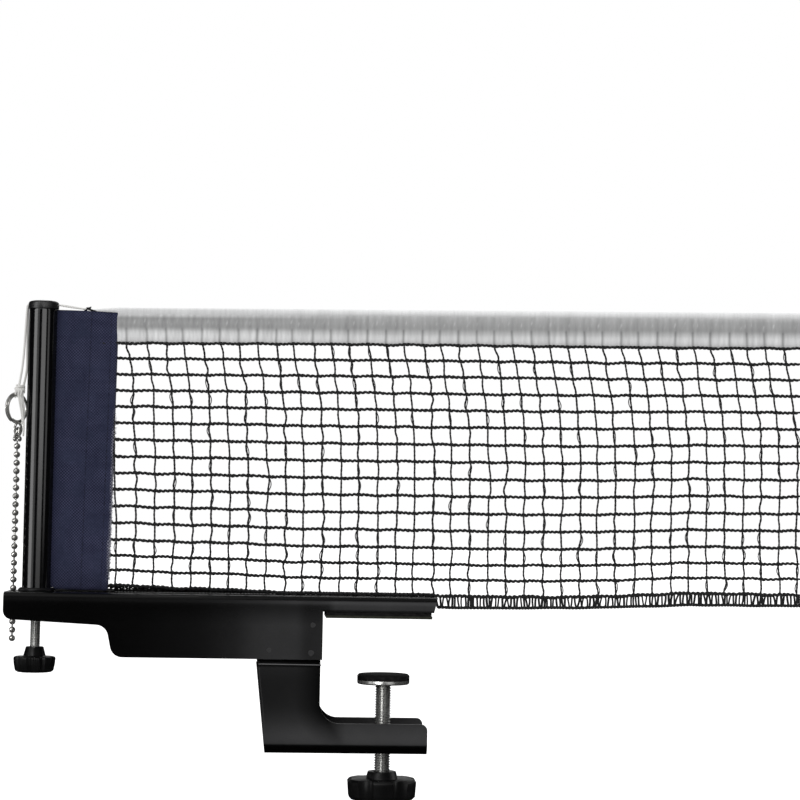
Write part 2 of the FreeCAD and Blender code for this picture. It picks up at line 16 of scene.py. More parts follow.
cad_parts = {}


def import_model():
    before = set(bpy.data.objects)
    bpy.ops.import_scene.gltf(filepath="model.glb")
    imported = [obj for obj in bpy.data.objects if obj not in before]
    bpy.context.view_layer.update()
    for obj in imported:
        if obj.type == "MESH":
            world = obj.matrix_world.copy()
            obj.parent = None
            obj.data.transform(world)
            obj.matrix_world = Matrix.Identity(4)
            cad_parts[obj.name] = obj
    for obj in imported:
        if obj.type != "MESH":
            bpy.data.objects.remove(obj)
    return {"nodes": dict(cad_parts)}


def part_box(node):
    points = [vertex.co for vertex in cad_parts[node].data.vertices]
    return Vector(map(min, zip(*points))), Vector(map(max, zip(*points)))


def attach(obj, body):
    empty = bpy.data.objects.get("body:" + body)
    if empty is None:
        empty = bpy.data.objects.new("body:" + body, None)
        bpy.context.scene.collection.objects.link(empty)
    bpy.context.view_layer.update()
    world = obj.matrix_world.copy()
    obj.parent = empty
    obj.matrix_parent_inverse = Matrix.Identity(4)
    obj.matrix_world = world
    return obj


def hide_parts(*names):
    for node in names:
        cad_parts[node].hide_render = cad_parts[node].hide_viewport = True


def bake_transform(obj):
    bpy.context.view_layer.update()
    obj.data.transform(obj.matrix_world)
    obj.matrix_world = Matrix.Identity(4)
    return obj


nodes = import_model()["nodes"]
scene = bpy.context.scene
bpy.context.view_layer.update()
rng = np.random.default_rng(11)
TAU = 2 * math.pi


# ------------------------------------------------------------------ shader helpers
class Shader:
    """Short methods that add nodes to one tree."""

    def __init__(self, tree):
        self.tree = tree
        self.link = tree.links.new

    def node(self, kind, **props):
        node = self.tree.nodes.new(kind)
        for key, value in props.items():
            setattr(node, key, value)
        return node

    def feed(self, socket, value):
        """Link a socket, or set a number or an RGB colour."""
        if isinstance(value, bpy.types.NodeSocket):
            self.link(value, socket)
        else:
            socket.default_value = (*value, 1.0) if isinstance(value, tuple) else value

    def math(self, operation, *values, clamp=False):
        node = self.node("ShaderNodeMath", operation=operation, use_clamp=clamp)
        for socket, value in zip(node.inputs, values):
            self.feed(socket, value)
        return node.outputs[0]

    def add(self, *values, clamp=False):
        return self.math("ADD", *values, clamp=clamp)

    def mul(self, *values, clamp=False):
        return self.math("MULTIPLY", *values, clamp=clamp)

    def remap(self, value, span, to=(0.0, 1.0)):
        """Map span onto to, clamped; a falling span reverses the ramp."""
        node = self.node("ShaderNodeMapRange")
        for key, amount in zip(("From Min", "From Max", "To Min", "To Max"), (*span, *to)):
            node.inputs[key].default_value = amount
        self.link(value, node.inputs["Value"])
        return node.outputs["Result"]


MATERIALS = {}


class Material(Shader):
    """A Principled material; base is its plain colour."""

    def __init__(self, name, base, rough, metallic=0.0, spec=0.5):
        self.data = bpy.data.materials.new(name)
        self.data.use_nodes = True
        super().__init__(self.data.node_tree)
        self.principled = self.tree.nodes["Principled BSDF"]
        self.set("Base Color", (*base, 1.0))
        self.set("Roughness", rough)
        self.set("Metallic", metallic)
        self.set("Specular IOR Level", spec)
        self.object_coords = None
        MATERIALS[name] = self.data

    def set(self, key, value):
        self.principled.inputs[key].default_value = value

    def coords(self):
        if self.object_coords is None:
            self.object_coords = self.node("ShaderNodeTexCoord").outputs["Object"]
        return self.object_coords

    def axes(self):
        node = self.node("ShaderNodeSeparateXYZ")
        self.link(self.coords(), node.inputs[0])
        return node.outputs

    def mapped(self, scale):
        node = self.node("ShaderNodeMapping")
        node.inputs["Scale"].default_value = scale
        self.link(self.coords(), node.inputs["Vector"])
        return node.outputs[0]

    def noise(self, scale, detail=3.0, rough=0.55, vector=None):
        node = self.node("ShaderNodeTexNoise")
        node.inputs["Scale"].default_value = scale
        node.inputs["Detail"].default_value = detail
        node.inputs["Roughness"].default_value = rough
        self.link(vector or self.coords(), node.inputs["Vector"])
        return node.outputs["Fac"]

    def attribute(self, name):
        return self.node("ShaderNodeAttribute", attribute_name=name).outputs["Fac"]

    def ramp(self, value, stops):
        """Colour ramp through (position, colour) stops."""
        node = self.node("ShaderNodeValToRGB")
        elements = node.color_ramp.elements
        while len(elements) < len(stops):
            elements.new(0.5)
        for element, (position, colour) in zip(elements, stops):
            element.position = position
            element.color = (*colour, 1.0)
        self.link(value, node.inputs["Fac"])
        return node.outputs["Color"]

    def curve(self, value, stations):
        """Smooth curve through (value, amount) stations."""
        start, end = stations[0][0], stations[-1][0]
        share = self.remap(value, (start, end))
        node = self.node("ShaderNodeFloatCurve")
        points = node.mapping.curves[0].points
        top = max(amount for _, amount in stations)
        while len(points) < len(stations):
            points.new(0.5, 0.5)
        for point, (at, amount) in zip(points, stations):
            point.location = ((at - start) / (end - start), amount / top)
        node.mapping.update()
        self.link(share, node.inputs["Value"])
        return self.mul(node.outputs[0], top)

    def mix(self, factor, first, second):
        node = self.node("ShaderNodeMix", data_type="RGBA")
        # 0, 6 and 7 are the factor and colour inputs; output 2 is the colour
        for index, value in ((0, factor), (6, first), (7, second)):
            self.feed(node.inputs[index], value)
        return node.outputs[2]

    def combine(self, *channels):
        node = self.node("ShaderNodeCombineColor")
        for socket, channel in zip(node.inputs, channels):
            self.link(channel, socket)
        return node.outputs[0]

    def colour(self, output):
        self.link(output, self.principled.inputs["Base Color"])

    def rough(self, output):
        self.link(output, self.principled.inputs["Roughness"])

    def bump(self, height, strength, distance, under=None):
        node = self.node("ShaderNodeBump")
        node.inputs["Strength"].default_value = strength
        node.inputs["Distance"].default_value = distance
        self.link(height, node.inputs["Height"])
        if under is not None:
            self.link(under, node.inputs["Normal"])
        self.link(node.outputs[0], self.principled.inputs["Normal"])
        return node.outputs[0]

    def coat_bump(self, peel, grain, strength):
        """Orange peel with a finer grain over it."""
        broad = self.bump(peel, strength, distance=0.0002)
        self.bump(grain, strength * 0.8, distance=0.00006, under=broad)


# ------------------------------------------------------------------ painted steel
def paint(name, base, rough, peel, speck, wear=(0.09, 0.09, 0.09)):
    """Coat on steel: orange peel, faint dust specks, cloudy gloss."""
    mat = Material(name, base, rough)
    grain = mat.noise(scale=1400, detail=4)
    ripple = mat.noise(scale=260, detail=2)
    spots = mat.remap(mat.noise(scale=3300, detail=1.0), (0.70, 0.80))
    cloud = mat.remap(mat.noise(scale=38), (0.35, 0.7))
    mat.colour(mat.mix(mat.mul(spots, speck), base, wear))
    gloss = mat.remap(grain, (0.3, 0.7), to=(rough - 0.03, rough + 0.04))
    mat.rough(mat.add(gloss, mat.mul(cloud, 0.03)))
    mat.coat_bump(ripple, grain, peel)


def toned_paint(name, rough, tone):
    """Satin black coat whose reflectance, given by tone(mat, x, y, z), varies over the part as
    painted reflections, highlights and shade.
    """
    mat = Material(name, (0.003, 0.003, 0.003), rough)
    value = tone(mat, *mat.axes())
    grain = mat.noise(scale=1400, detail=4)
    peel = mat.noise(scale=240, detail=2)
    cloud = mat.remap(mat.noise(scale=45), (0.3, 0.7), to=(0.90, 1.10))
    speckle = mat.remap(grain, (0.2, 0.8), to=(0.93, 1.07))
    value = mat.mul(mat.mul(value, cloud), speckle)
    dust = mat.noise(scale=3300, detail=1.0)
    value = mat.add(value, mat.remap(dust, (0.735, 0.80), to=(0.0, 0.012)))
    mat.colour(mat.combine(value, value, mat.mul(value, 1.03)))
    mat.rough(mat.remap(grain, (0.3, 0.7), to=(rough - 0.02, rough + 0.03)))
    mat.coat_bump(peel, grain, 0.025)


# Painted light tables: (place in metres, amount); painted reflection across the bracket face, a
# painted highlight band near its top, painted reflection and shade down the jaw
BRACKET_REFLECTION_X = [
    (-0.156, 0.0012), (-0.075, 0.0035), (-0.045, 0.014), (-0.024, 0.036), (-0.014, 0.037),
    (-0.006, 0.022), (0.001, 0.027), (0.010, 0.034), (0.057, 0.037)]
BRACKET_HIGHLIGHT_X = [
    (-0.156, 0.005), (-0.06, 0.009), (-0.021, 0.026), (0.0, 0.034), (0.012, 0.024),
    (0.057, 0.022)]
BRACKET_HIGHLIGHT_Z = [
    (0.0030, 0.0), (0.0052, 0.10), (0.0064, 0.45), (0.0074, 1.0), (0.0080, 0.9),
    (0.0087, 0.05), (0.0106, 0.0)]
JAW_LIGHT_AND_SHADE_Z = [
    (-0.0665, 0.0), (-0.0622, 0.0), (-0.0612, 0.034), (-0.0585, 0.047), (-0.0555, 0.043),
    (-0.049, 0.026), (-0.040, 0.014), (-0.030, 0.012), (-0.0245, 0.014), (-0.0235, 0.002),
    (-0.018, 0.001), (0.009, 0.001)]


def bracket_painted_light(mat, x, y, z):
    # painted reflection across the face, lighter towards the tongue
    face = mat.curve(x, BRACKET_REFLECTION_X)
    # the painted reflection fades upwards left of x = 0 and stops at the rolled band near the top
    low = mat.math("MAXIMUM", mat.remap(z, (0.0055, -0.004), to=(0.35, 1.0)),
                   mat.remap(x, (0.0, 0.006)))
    low = mat.mul(low, mat.remap(z, (0.0086, 0.0078)))
    # painted shade on the tongue's lower lip: below z = 4 mm, right of x = 0, the face is darker
    step = mat.math("MAXIMUM", mat.remap(z, (0.0037, 0.0043), to=(0.3, 1.0)),
                    mat.remap(x, (0.0005, -0.0005)))
    low = mat.mul(low, step)
    # painted highlight band near the top of the face, below the rolled edge
    band = mat.curve(x, BRACKET_HIGHLIGHT_X)
    band_height = mat.curve(z, BRACKET_HIGHLIGHT_Z)
    side = mat.remap(mat.math("ABSOLUTE", y), (0.0120, 0.0165))
    value = mat.add(mat.mul(face, low), mat.mul(band, band_height))
    return mat.add(mat.mul(value, side), 0.0016)


def jaw_painted_light(mat, x, y, z):
    # painted reflection, strongest near the bottom, with painted shade on the bottom bend; nearly
    # black above the step
    down = mat.curve(z, JAW_LIGHT_AND_SHADE_Z)
    # painted shade in the throat: distance from a vertical line that ends at z = -0.0414
    below = mat.math("MINIMUM", mat.add(z, 0.0414), 0.0)
    across = mat.math("SUBTRACT", x, 0.009)
    away = mat.math("SQRT", mat.add(mat.mul(below, below), mat.mul(across, across)))
    throat = mat.remap(away, (0.0098, 0.0215), to=(0.08, 1.0))
    throat = mat.math("MAXIMUM", throat, mat.remap(x, (0.002, 0.012)))
    # painted reflection, lighter towards the right
    throat = mat.mul(throat, mat.remap(x, (-0.030, 0.0), to=(0.86, 1.12)))
    side = mat.remap(mat.math("ABSOLUTE", y), (0.0120, 0.0155))
    return mat.add(mat.mul(mat.mul(down, throat), side), 0.0012)


# ------------------------------------------------------------------ metal, plastic, rubber
def metal(name, base, rough, scratch, metallic, scale):
    """Scratched metal with dull patches; scale stretches the scratches."""
    mat = Material(name, base, rough, metallic)
    streaks = mat.noise(scale=9, detail=4, rough=0.6, vector=mat.mapped(scale))
    dirt = mat.remap(mat.noise(scale=420), (0.52, 0.75))
    mat.colour(mat.mix(mat.mul(dirt, 0.45), base, tuple(c * 0.35 for c in base)))
    mat.rough(mat.remap(streaks, (0.3, 0.7), to=(rough - 0.06, rough + 0.12)))
    mat.bump(streaks, scratch, distance=0.00004)


def plastic(name, base, rough, grain):
    mat = Material(name, base, rough, spec=0.45)
    pores = mat.noise(scale=2600, detail=2)
    scuff = mat.remap(mat.noise(scale=160, detail=5), (0.56, 0.72))
    mat.colour(mat.mix(mat.mul(scuff, 0.35), base, tuple(c * 1.9 + 0.004 for c in base)))
    mat.rough(mat.remap(mat.noise(scale=300), (0.3, 0.7), to=(rough - 0.05, rough + 0.08)))
    mat.bump(pores, grain, distance=0.00008)


def rubber(name, base, lighter):
    mat = Material(name, base, rough=0.75, spec=0.25)
    mat.colour(mat.mix(mat.remap(mat.noise(scale=500, detail=4), (0.4, 0.7)), base, lighter))
    mat.bump(mat.noise(scale=1500), strength=0.4, distance=0.00015)


# ------------------------------------------------------------------ yarn and cloth
def cord_cloth(name, base, lighter, period, strength, fuzz):
    """Twisted or braided yarn: fine diagonal ribs every period metres and a little fuzz."""
    mat = Material(name, base, rough=0.85, spec=0.2)
    x, y, z = mat.axes()
    diagonal = mat.add(mat.add(x, y), z)
    ribs = mat.math("SINE", mat.mul(diagonal, TAU / period))
    height = mat.add(mat.mul(ribs, 0.35), mat.noise(scale=2500))
    mat.colour(mat.mix(mat.remap(height, (0.15, 0.95)), base, lighter))
    mat.bump(height, strength, distance=0.00012)
    mat.set("Sheen Weight", fuzz)


def sleeve_fabric():
    """Navy plain weave seen as a diagonal check, with cloudy dye and painted reflected light
    towards the bottom; 'shade' darkens it and 'pale' lightens the raw edge."""
    mat = Material("sleeve_fabric", (0.026, 0.029, 0.058), rough=0.9, spec=0.12)
    period = 0.00148
    x, y, z = mat.axes()
    wobble = mat.mul(mat.math("SUBTRACT", mat.noise(scale=230, detail=2), 0.5), 0.0009)
    up, down = (
        mat.math("COSINE", mat.mul(mat.add(mat.math(operation, x, z), wobble), TAU / period))
        for operation in ("ADD", "SUBTRACT"))
    weave = mat.mul(mat.add(up, down), 0.5)
    cloud = mat.noise(scale=75, detail=4, rough=0.6)
    fine = mat.noise(scale=1500, detail=2)
    patchy = mat.remap(mat.noise(scale=120, detail=2), (0.36, 0.62))
    check = mat.mul(weave, mat.add(mat.mul(patchy, 0.75), 0.25))
    dye = mat.add(mat.remap(cloud, (0.3, 0.7), to=(0.36, 0.60)),
                  mat.mul(mat.math("SUBTRACT", fine, 0.5), 0.55))
    tone = mat.add(mat.mul(check, 0.80), dye)
    # painted reflected light: lighter towards the bottom
    tone = mat.add(tone, mat.remap(z, (0.050, 0.012), to=(0.0, 0.16)), clamp=True)
    shade = mat.attribute("shade")
    navy = mat.ramp(tone, [(0.0, (0.012, 0.013, 0.032)), (0.5, (0.0272, 0.0325, 0.066)),
                           (1.0, (0.056, 0.058, 0.112))])
    navy = mat.mix(shade, navy, (0.010, 0.011, 0.032))
    pale = mat.attribute("pale")
    dots = mat.add(weave, mat.mul(mat.math("SUBTRACT", fine, 0.5), 3.0))
    dots = mat.remap(dots, (-0.5, 0.7))
    mat.colour(mat.mix(mat.mul(pale, dots, clamp=True), navy, (0.34, 0.34, 0.42)))
    mat.bump(mat.add(mat.mul(weave, 0.5), fine), strength=0.5, distance=0.00012)
    mat.set("Sheen Weight", 0.08)


def tape_fabric():
    """White tape; its tone, painted light and shade, comes from the 'tone' attribute of the mesh.
    """
    mat = Material("tape_fabric", (0.6, 0.6, 0.6), rough=0.85, spec=0.15)
    thread_period = 0.0006
    tone = mat.attribute("tone")
    ribs = mat.noise(scale=10, detail=3, rough=0.6, vector=mat.mapped((75, 75, 5)))
    fine = mat.noise(scale=2300, detail=2)
    mottle = mat.add(mat.remap(ribs, (0.3, 0.7), to=(0.95, 1.05)),
                     mat.mul(mat.math("SUBTRACT", fine, 0.5), 0.12))
    value = mat.mul(tone, mottle)
    mat.colour(mat.combine(mat.mul(value, 0.995), value, mat.mul(value, 1.003)))
    threads = mat.math("SINE", mat.mul(mat.axes()[0], TAU / thread_period))
    height = mat.add(mat.mul(threads, 0.4), mat.add(ribs, fine))
    mat.bump(height, strength=0.35, distance=0.00012)


toned_paint("bracket_steel", rough=0.22, tone=bracket_painted_light)
toned_paint("jaw_steel", rough=0.30, tone=jaw_painted_light)
# lighter coats that stand for highlights: painted highlight lines on the jaw and painted
# highlights on the spot welds
paint("painted_highlight_bright", (0.13, 0.13, 0.132), rough=0.3, peel=0.02, speck=0.0)
paint("painted_highlight_soft", (0.042, 0.042, 0.043), rough=0.3, peel=0.02, speck=0.0)
paint("black_coat", (0.0025, 0.0025, 0.0027), rough=0.3, peel=0.03, speck=0.2)
paint("post_enamel", (0.0012, 0.0012, 0.0014), rough=0.10, peel=0.012, speck=0.10,
      wear=(0.03, 0.03, 0.03))
metal("bright_steel", (0.40, 0.40, 0.39), rough=0.25, scratch=0.25, metallic=0.90,
      scale=(300, 300, 40))
metal("chain_nickel", (0.40, 0.395, 0.38), rough=0.20, scratch=0.10, metallic=0.86,
      scale=(200, 200, 200))
plastic("black_plastic", (0.0040, 0.0040, 0.0043), rough=0.36, grain=0.15)
rubber("pad_rubber", (0.006, 0.0055, 0.006), lighter=(0.016, 0.015, 0.015))
rubber("grip_rubber", (0.022, 0.024, 0.017), lighter=(0.036, 0.039, 0.027))
# name, base, lighter colour, rib period, bump strength, fuzz
for yarn in (
    ("net_cord_black", (0.010, 0.010, 0.0105), (0.034, 0.034, 0.035), 0.0006, 0.6, 0.05),
    ("net_yarn_grey", (0.03, 0.03, 0.032), (0.10, 0.10, 0.105), 0.0005, 0.4, 0.1),
    ("cord_white", (0.66, 0.655, 0.63), (0.95, 0.945, 0.92), 0.0011, 0.55, 0.15),
    ("thread_navy", (0.008, 0.009, 0.022), (0.02, 0.022, 0.045), 0.0004, 0.5, 0.1),
    ("fringe_grey", (0.22, 0.22, 0.29), (0.60, 0.60, 0.66), 0.0004, 0.3, 0.2),
):
    cord_cloth(*yarn)
sleeve_fabric()
tape_fabric()


# ------------------------------------------------------------------ mesh helpers
class MeshBuilder:
    """Gathers pieces in millimetres and makes one object in metres."""

    def __init__(self):
        self.points, self.quads, self.tris = [], [], [np.zeros((0, 3), np.int64)]
        self.count = 0

    def add(self, points, quads, tris=None):
        points = np.asarray(points, float).reshape(-1, 3)
        self.quads.append(quads + self.count)
        if tris is not None:
            self.tris.append(tris + self.count)
        self.points.append(points)
        self.count += len(points)

    def object(self, name, material, body, slot=None, replaces=None, sharp=None,
               attributes=None):
        """slot is not used; without a body nothing is ridden."""
        points = np.concatenate(self.points) * 0.001
        quads, tris = np.concatenate(self.quads), np.concatenate(self.tris)
        faces = len(quads) + len(tris)
        loops = np.concatenate([quads.ravel(), tris.ravel()])
        starts = np.concatenate([np.arange(len(quads)) * 4,
                                 len(quads) * 4 + np.arange(len(tris)) * 3])
        mesh = bpy.data.meshes.new(name)
        mesh.vertices.add(len(points))
        mesh.vertices.foreach_set("co", points.astype(np.float32).ravel())
        mesh.loops.add(len(loops))
        mesh.loops.foreach_set("vertex_index", loops.astype(np.int32))
        mesh.polygons.add(faces)
        mesh.polygons.foreach_set("loop_start", starts.astype(np.int32))
        mesh.polygons.foreach_set("use_smooth", np.ones(faces, bool))
        mesh.update(calc_edges=True)
        mesh.validate()
        if sharp is not None:
            mesh.set_sharp_from_angle(angle=math.radians(sharp))
        for key, values in (attributes or {}).items():
            attribute = mesh.attributes.new(key, "FLOAT", "POINT")
            attribute.data.foreach_set("value", np.asarray(values, np.float32).ravel())
        made = bpy.data.objects.new(name, mesh)
        scene.collection.objects.link(made)
        mesh.materials.append(MATERIALS[material])
        if body:
            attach(made, body)
        if replaces:
            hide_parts(replaces)
        return made


def xyz(x, y, z):
    """Points from coordinates that broadcast together."""
    return np.stack(np.broadcast_arrays(x, y, z), -1)


def turned(centre, radius, angle, z):
    """Points about the vertical axis at x = centre."""
    return xyz(centre + radius * np.cos(angle), radius * np.sin(angle), z)


def circle(count):
    return np.arange(count) * TAU / count


def open_circle(count):
    """Angles of a closed loop whose last sample, equal to the first, is left out."""
    return np.linspace(0, TAU, count)[:-1]


def grid_quads(rows, cols, wrap_cols=False, wrap_rows=False):
    """Quads of a rows x cols vertex grid, row-major."""
    i = np.arange(rows if wrap_rows else rows - 1)[:, None]
    j = np.arange(cols if wrap_cols else cols - 1)
    below, beside = (i + 1) % rows, (j + 1) % cols
    corners = [i * cols + j, i * cols + beside, below * cols + beside, below * cols + j]
    return np.stack(corners, -1).reshape(-1, 4)


def transported(along):
    """Side directions carried along a path without twist."""
    sides = np.zeros((len(along), 3))
    start = np.cross(along[0], [0.3, 0.9, 0.1])
    current = start / np.linalg.norm(start)
    for i, direction in enumerate(along):
        current = current - direction * (current @ direction)
        current /= np.linalg.norm(current) + 1e-12
        sides[i] = current
    return sides


def tube(mesh, path, radius, sides=6, ref=None, closed=False, flat=1.0):
    """Round cord along path. ref is a direction the cord is never parallel to."""
    path = np.asarray(path, float)
    count = len(path)
    if closed:
        along = np.roll(path, -1, 0) - np.roll(path, 1, 0)
    else:
        along = np.gradient(path, axis=0)
    along /= np.linalg.norm(along, axis=1)[:, None] + 1e-12
    if ref is None:
        side = transported(along)
    else:
        side = np.cross(along, np.asarray(ref, float))
        side /= np.linalg.norm(side, axis=1)[:, None] + 1e-12
    other = np.cross(along, side)
    radius = np.broadcast_to(np.asarray(radius, float), (count,))
    angle = circle(sides)[None, :, None]
    ring = np.cos(angle) * side[:, None] + flat * np.sin(angle) * other[:, None]
    points = (path[:, None] + radius[:, None, None] * ring).reshape(-1, 3)
    tris = None
    if not closed:  # shallow cones close the ends
        points = np.vstack([points, path[0] - along[0] * radius[0] * 0.5,
                            path[-1] + along[-1] * radius[-1] * 0.5])
        k = np.arange(sides)
        after = (k + 1) % sides
        tip, last = count * sides, (count - 1) * sides
        tris = np.concatenate([np.stack([np.full(sides, tip), after, k], -1),
                               np.stack([np.full(sides, tip + 1), last + k, last + after], -1)])
    mesh.add(points, grid_quads(count, sides, wrap_cols=True, wrap_rows=closed), tris)


def lathe(mesh, profile, segments=96, centre=0, shape=None):
    """Turn (radius, z) points about x = centre; shape(angle, radius) may alter the radius."""
    profile = np.asarray(profile, float)
    angle = circle(segments)[None, :]
    radius, z = profile[:, :1], profile[:, 1:]
    if shape is not None:
        radius = shape(angle, radius)
    mesh.add(turned(centre, radius, angle, z),
             grid_quads(len(profile), segments, wrap_cols=True))


def rounded(profile, radius, steps=4):
    """Round the corners of an open (radius, z) polyline."""
    corners = [np.asarray(corner, float) for corner in profile]
    out = [corners[0]]
    for before, corner, after in zip(corners, corners[1:], corners[2:]):
        back, ahead = before - corner, after - corner
        back_length, ahead_length = np.linalg.norm(back), np.linalg.norm(ahead)
        cut = min(radius, back_length * 0.45, ahead_length * 0.45)
        if cut < 1e-4:
            out.append(corner)
            continue
        start, end = corner + back / back_length * cut, corner + ahead / ahead_length * cut
        for t in np.linspace(0, 1, steps + 1):
            out.append((1 - t) ** 2 * start + 2 * t * (1 - t) * corner + t ** 2 * end)
    out.append(corners[-1])
    return out


def smooth_path(stations, count):
    """Catmull-Rom through the stations, sampled count times."""
    inner = np.asarray(stations, float)
    knots = np.vstack([2 * inner[0] - inner[1], inner, 2 * inner[-1] - inner[-2]])
    out = []
    for t in np.linspace(0, len(inner) - 1, count):
        i = min(int(t), len(inner) - 2)
        f = t - i
        p0, p1, p2, p3 = knots[i:i + 4]
        out.append(0.5 * ((2 * p1) + (-p0 + p2) * f + (2 * p0 - 5 * p1 + 4 * p2 - p3) * f * f
                          + (-p0 + 3 * p1 - 3 * p2 + p3) * f ** 3))
    return np.array(out)


def bend_noise(x, z, seed, scale):
    """Smooth pseudo-random waviness, about -1..1."""
    draw = np.random.default_rng(seed)
    out = np.zeros(np.broadcast(x, z).shape)
    for _ in range(7):
        angle, phase = draw.uniform(0, TAU), draw.uniform(0, TAU)
        pace = draw.uniform(0.5, 1.6) / scale
        out += np.sin((x * math.cos(angle) + z * math.sin(angle)) * pace * TAU + phase)
    return out / 3.2


def bell(value, centre, width):
    return np.exp(-((value - centre) / width) ** 2)


def rise(value, start, span):
    """0 before start, 1 after start + span; a negative span falls instead."""
    return np.clip((value - start) / span, 0, 1)


def mm_box(node):
    low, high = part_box(node)
    return np.array(low) * 1000, np.array(high) * 1000


# ------------------------------------------------------------------ finish of the CAD parts
def node_group(name, build):
    group = bpy.data.node_groups.new(name, "GeometryNodeTree")
    for direction in ("INPUT", "OUTPUT"):
        group.interface.new_socket(name="Geometry", in_out=direction,
                                   socket_type="NodeSocketGeometry")
    build(group, group.nodes.new("NodeGroupInput"), group.nodes.new("NodeGroupOutput"))
    return group


def weld_build(group, source, result):
    merge = group.nodes.new("GeometryNodeMergeByDistance")
    merge.inputs["Distance"].default_value = 0.000004
    group.links.new(source.outputs[0], merge.inputs["Geometry"])
    group.links.new(merge.outputs["Geometry"], result.inputs[0])


def smooth_build(group, source, result):
    """Smooth faces, with edges over 32 degrees kept sharp."""
    faces = group.nodes.new("GeometryNodeSetShadeSmooth")
    faces.domain = "FACE"
    edges = group.nodes.new("GeometryNodeSetShadeSmooth")
    edges.domain = "EDGE"
    edges.inputs["Shade Smooth"].default_value = False
    angle = group.nodes.new("GeometryNodeInputMeshEdgeAngle")
    compare = group.nodes.new("FunctionNodeCompare")
    compare.data_type = "FLOAT"
    compare.operation = "GREATER_THAN"
    compare.inputs[1].default_value = math.radians(32)
    group.links.new(angle.outputs[0], compare.inputs[0])
    group.links.new(source.outputs[0], faces.inputs["Geometry"])
    group.links.new(faces.outputs[0], edges.inputs["Geometry"])
    group.links.new(compare.outputs[0], edges.inputs["Selection"])
    group.links.new(edges.outputs[0], result.inputs[0])


WELD = node_group("weld", weld_build)
SMOOTH = node_group("smooth", smooth_build)


def polish(node, slot, bevel):
    """Give a CAD part its material, welded and bevelled edges (mm) and smooth shading."""
    part = nodes[node]
    mesh = part.data
    if "custom_normal" in mesh.attributes:
        mesh.attributes.remove(mesh.attributes["custom_normal"])
    mesh.materials.clear()
    mesh.materials.append(MATERIALS[slot])
    part.modifiers.new("weld", "NODES").node_group = WELD
    edges = part.modifiers.new("edges", "BEVEL")
    edges.width = bevel * 0.001
    edges.segments = 2
    edges.limit_method = "ANGLE"
    edges.angle_limit = math.radians(35)
    edges.harden_normals = False
    part.modifiers.new("smooth", "NODES").node_group = SMOOTH


# part, slot, bevel in mm
for part_name, part_slot, part_bevel in (
    ("upper_bracket", "bracket_steel", 0.22), ("lower_jaw_frame", "jaw_steel", 0.22),
    ("tongue_pad_block", "pad_rubber", 0.12), ("tongue_grip_strip", "grip_rubber", 0.12),
    ("clamp_weld_nut", "bright_steel", 0.3), ("spindle_clip", "bright_steel", 0.1),
    ("pressure_plate", "bright_steel", 0.15), ("pressure_pad", "pad_rubber", 0.3),
    ("clamp_knob", "black_plastic", 0.45), ("height_screw_strap", "jaw_steel", 0.2),
    ("post_bush", "black_plastic", 0.25), ("post_foot_plug", "black_plastic", 0.2),
    ("post_cap", "black_plastic", 0.25), ("net_hem_rod", "bright_steel", 0.2),
):
    polish(part_name, part_slot, part_bevel)

# ------------------------------------------------------------------ post tube, slotted for the net
post_low, post_high = mm_box("post_tube")
POST_X = (post_low[0] + post_high[0]) / 2
POST_RADIUS = (post_high[0] - post_low[0]) / 2
BORE = 5.7
SLOT_FOOT_Z = 13.8
SLOT_HALF = 1.5


def post_tube():
    mesh = MeshBuilder()
    low, high = post_low[2], post_high[2]
    slot_angle = math.asin(SLOT_HALF / POST_RADIUS)
    foot = [(BORE, low + 0.4), (BORE + 0.3, low), (POST_RADIUS - 0.3, low),
            (POST_RADIUS, low + 0.35)]

    def sweep(profile, angle):
        profile = np.array(profile)
        mesh.add(turned(POST_X, profile[:, :1], angle, profile[:, 1:]),
                 grid_quads(len(profile), len(angle)))

    wall = foot + [(POST_RADIUS, z) for z in np.linspace(low + 1, high - 1, 40)]
    wall += [(POST_RADIUS, high - 0.3), (POST_RADIUS - 0.25, high), (BORE, high), foot[0]]
    sweep(wall, np.linspace(slot_angle, TAU - slot_angle, 161))
    levels = np.linspace(SLOT_FOOT_Z, high, 24)[:, None]
    for angle in (slot_angle, TAU - slot_angle):  # walls of the slot
        mesh.add(turned(POST_X, np.array([BORE, POST_RADIUS]), angle, levels),
                 grid_quads(24, 2))
    # closed foot below the slot
    below_slot = foot + [(POST_RADIUS, SLOT_FOOT_Z - 0.2), (POST_RADIUS - 0.2, SLOT_FOOT_Z),
                         (BORE, SLOT_FOOT_Z), foot[0]]
    sweep(below_slot, np.linspace(-slot_angle, slot_angle, 9))
    mesh.object("post_tube_rolled", "post_enamel", "post", replaces="post_tube", sharp=40)


post_tube()


# ------------------------------------------------------------------ threaded screws
def threaded_screw(node, body, major, pitch, depth, top=None, neck=None):
    """Screw in the place of a CAD part; above the thread comes a (radius, z) neck or a
    chamfered end."""
    low_corner, high_corner = mm_box(node)
    centre = (low_corner[0] + high_corner[0]) / 2
    low = low_corner[2]
    high = high_corner[2] if top is None else top
    segments = 40
    mesh = MeshBuilder()
    levels = np.arange(low, high, pitch / 8)
    z = levels[:, None]
    angle = np.arange(segments + 1) * TAU / segments
    phase = (z / pitch - angle / TAU) % 1.0
    crest = np.clip(np.abs(phase - 0.5) * 2 * 1.25 - 0.1, 0, 1)
    fade = rise(z, low, pitch * 0.8) * rise(z, high, -pitch * 0.8)
    radius = major - depth * (1 - crest * fade) - 0.02
    mesh.add(turned(centre, radius, angle, z), grid_quads(len(levels), segments + 1))
    root = major - depth - 0.02
    end = neck or [(root, levels[-1] + 0.15), (root - 0.4, high), (0.01, high)]
    lathe(mesh, [(root, levels[-1])] + end, segments, centre)
    lathe(mesh, [(0.01, low), (root, low)], segments, centre)
    mesh.object(node + "_thread", "bright_steel", body, replaces=node, sharp=50)


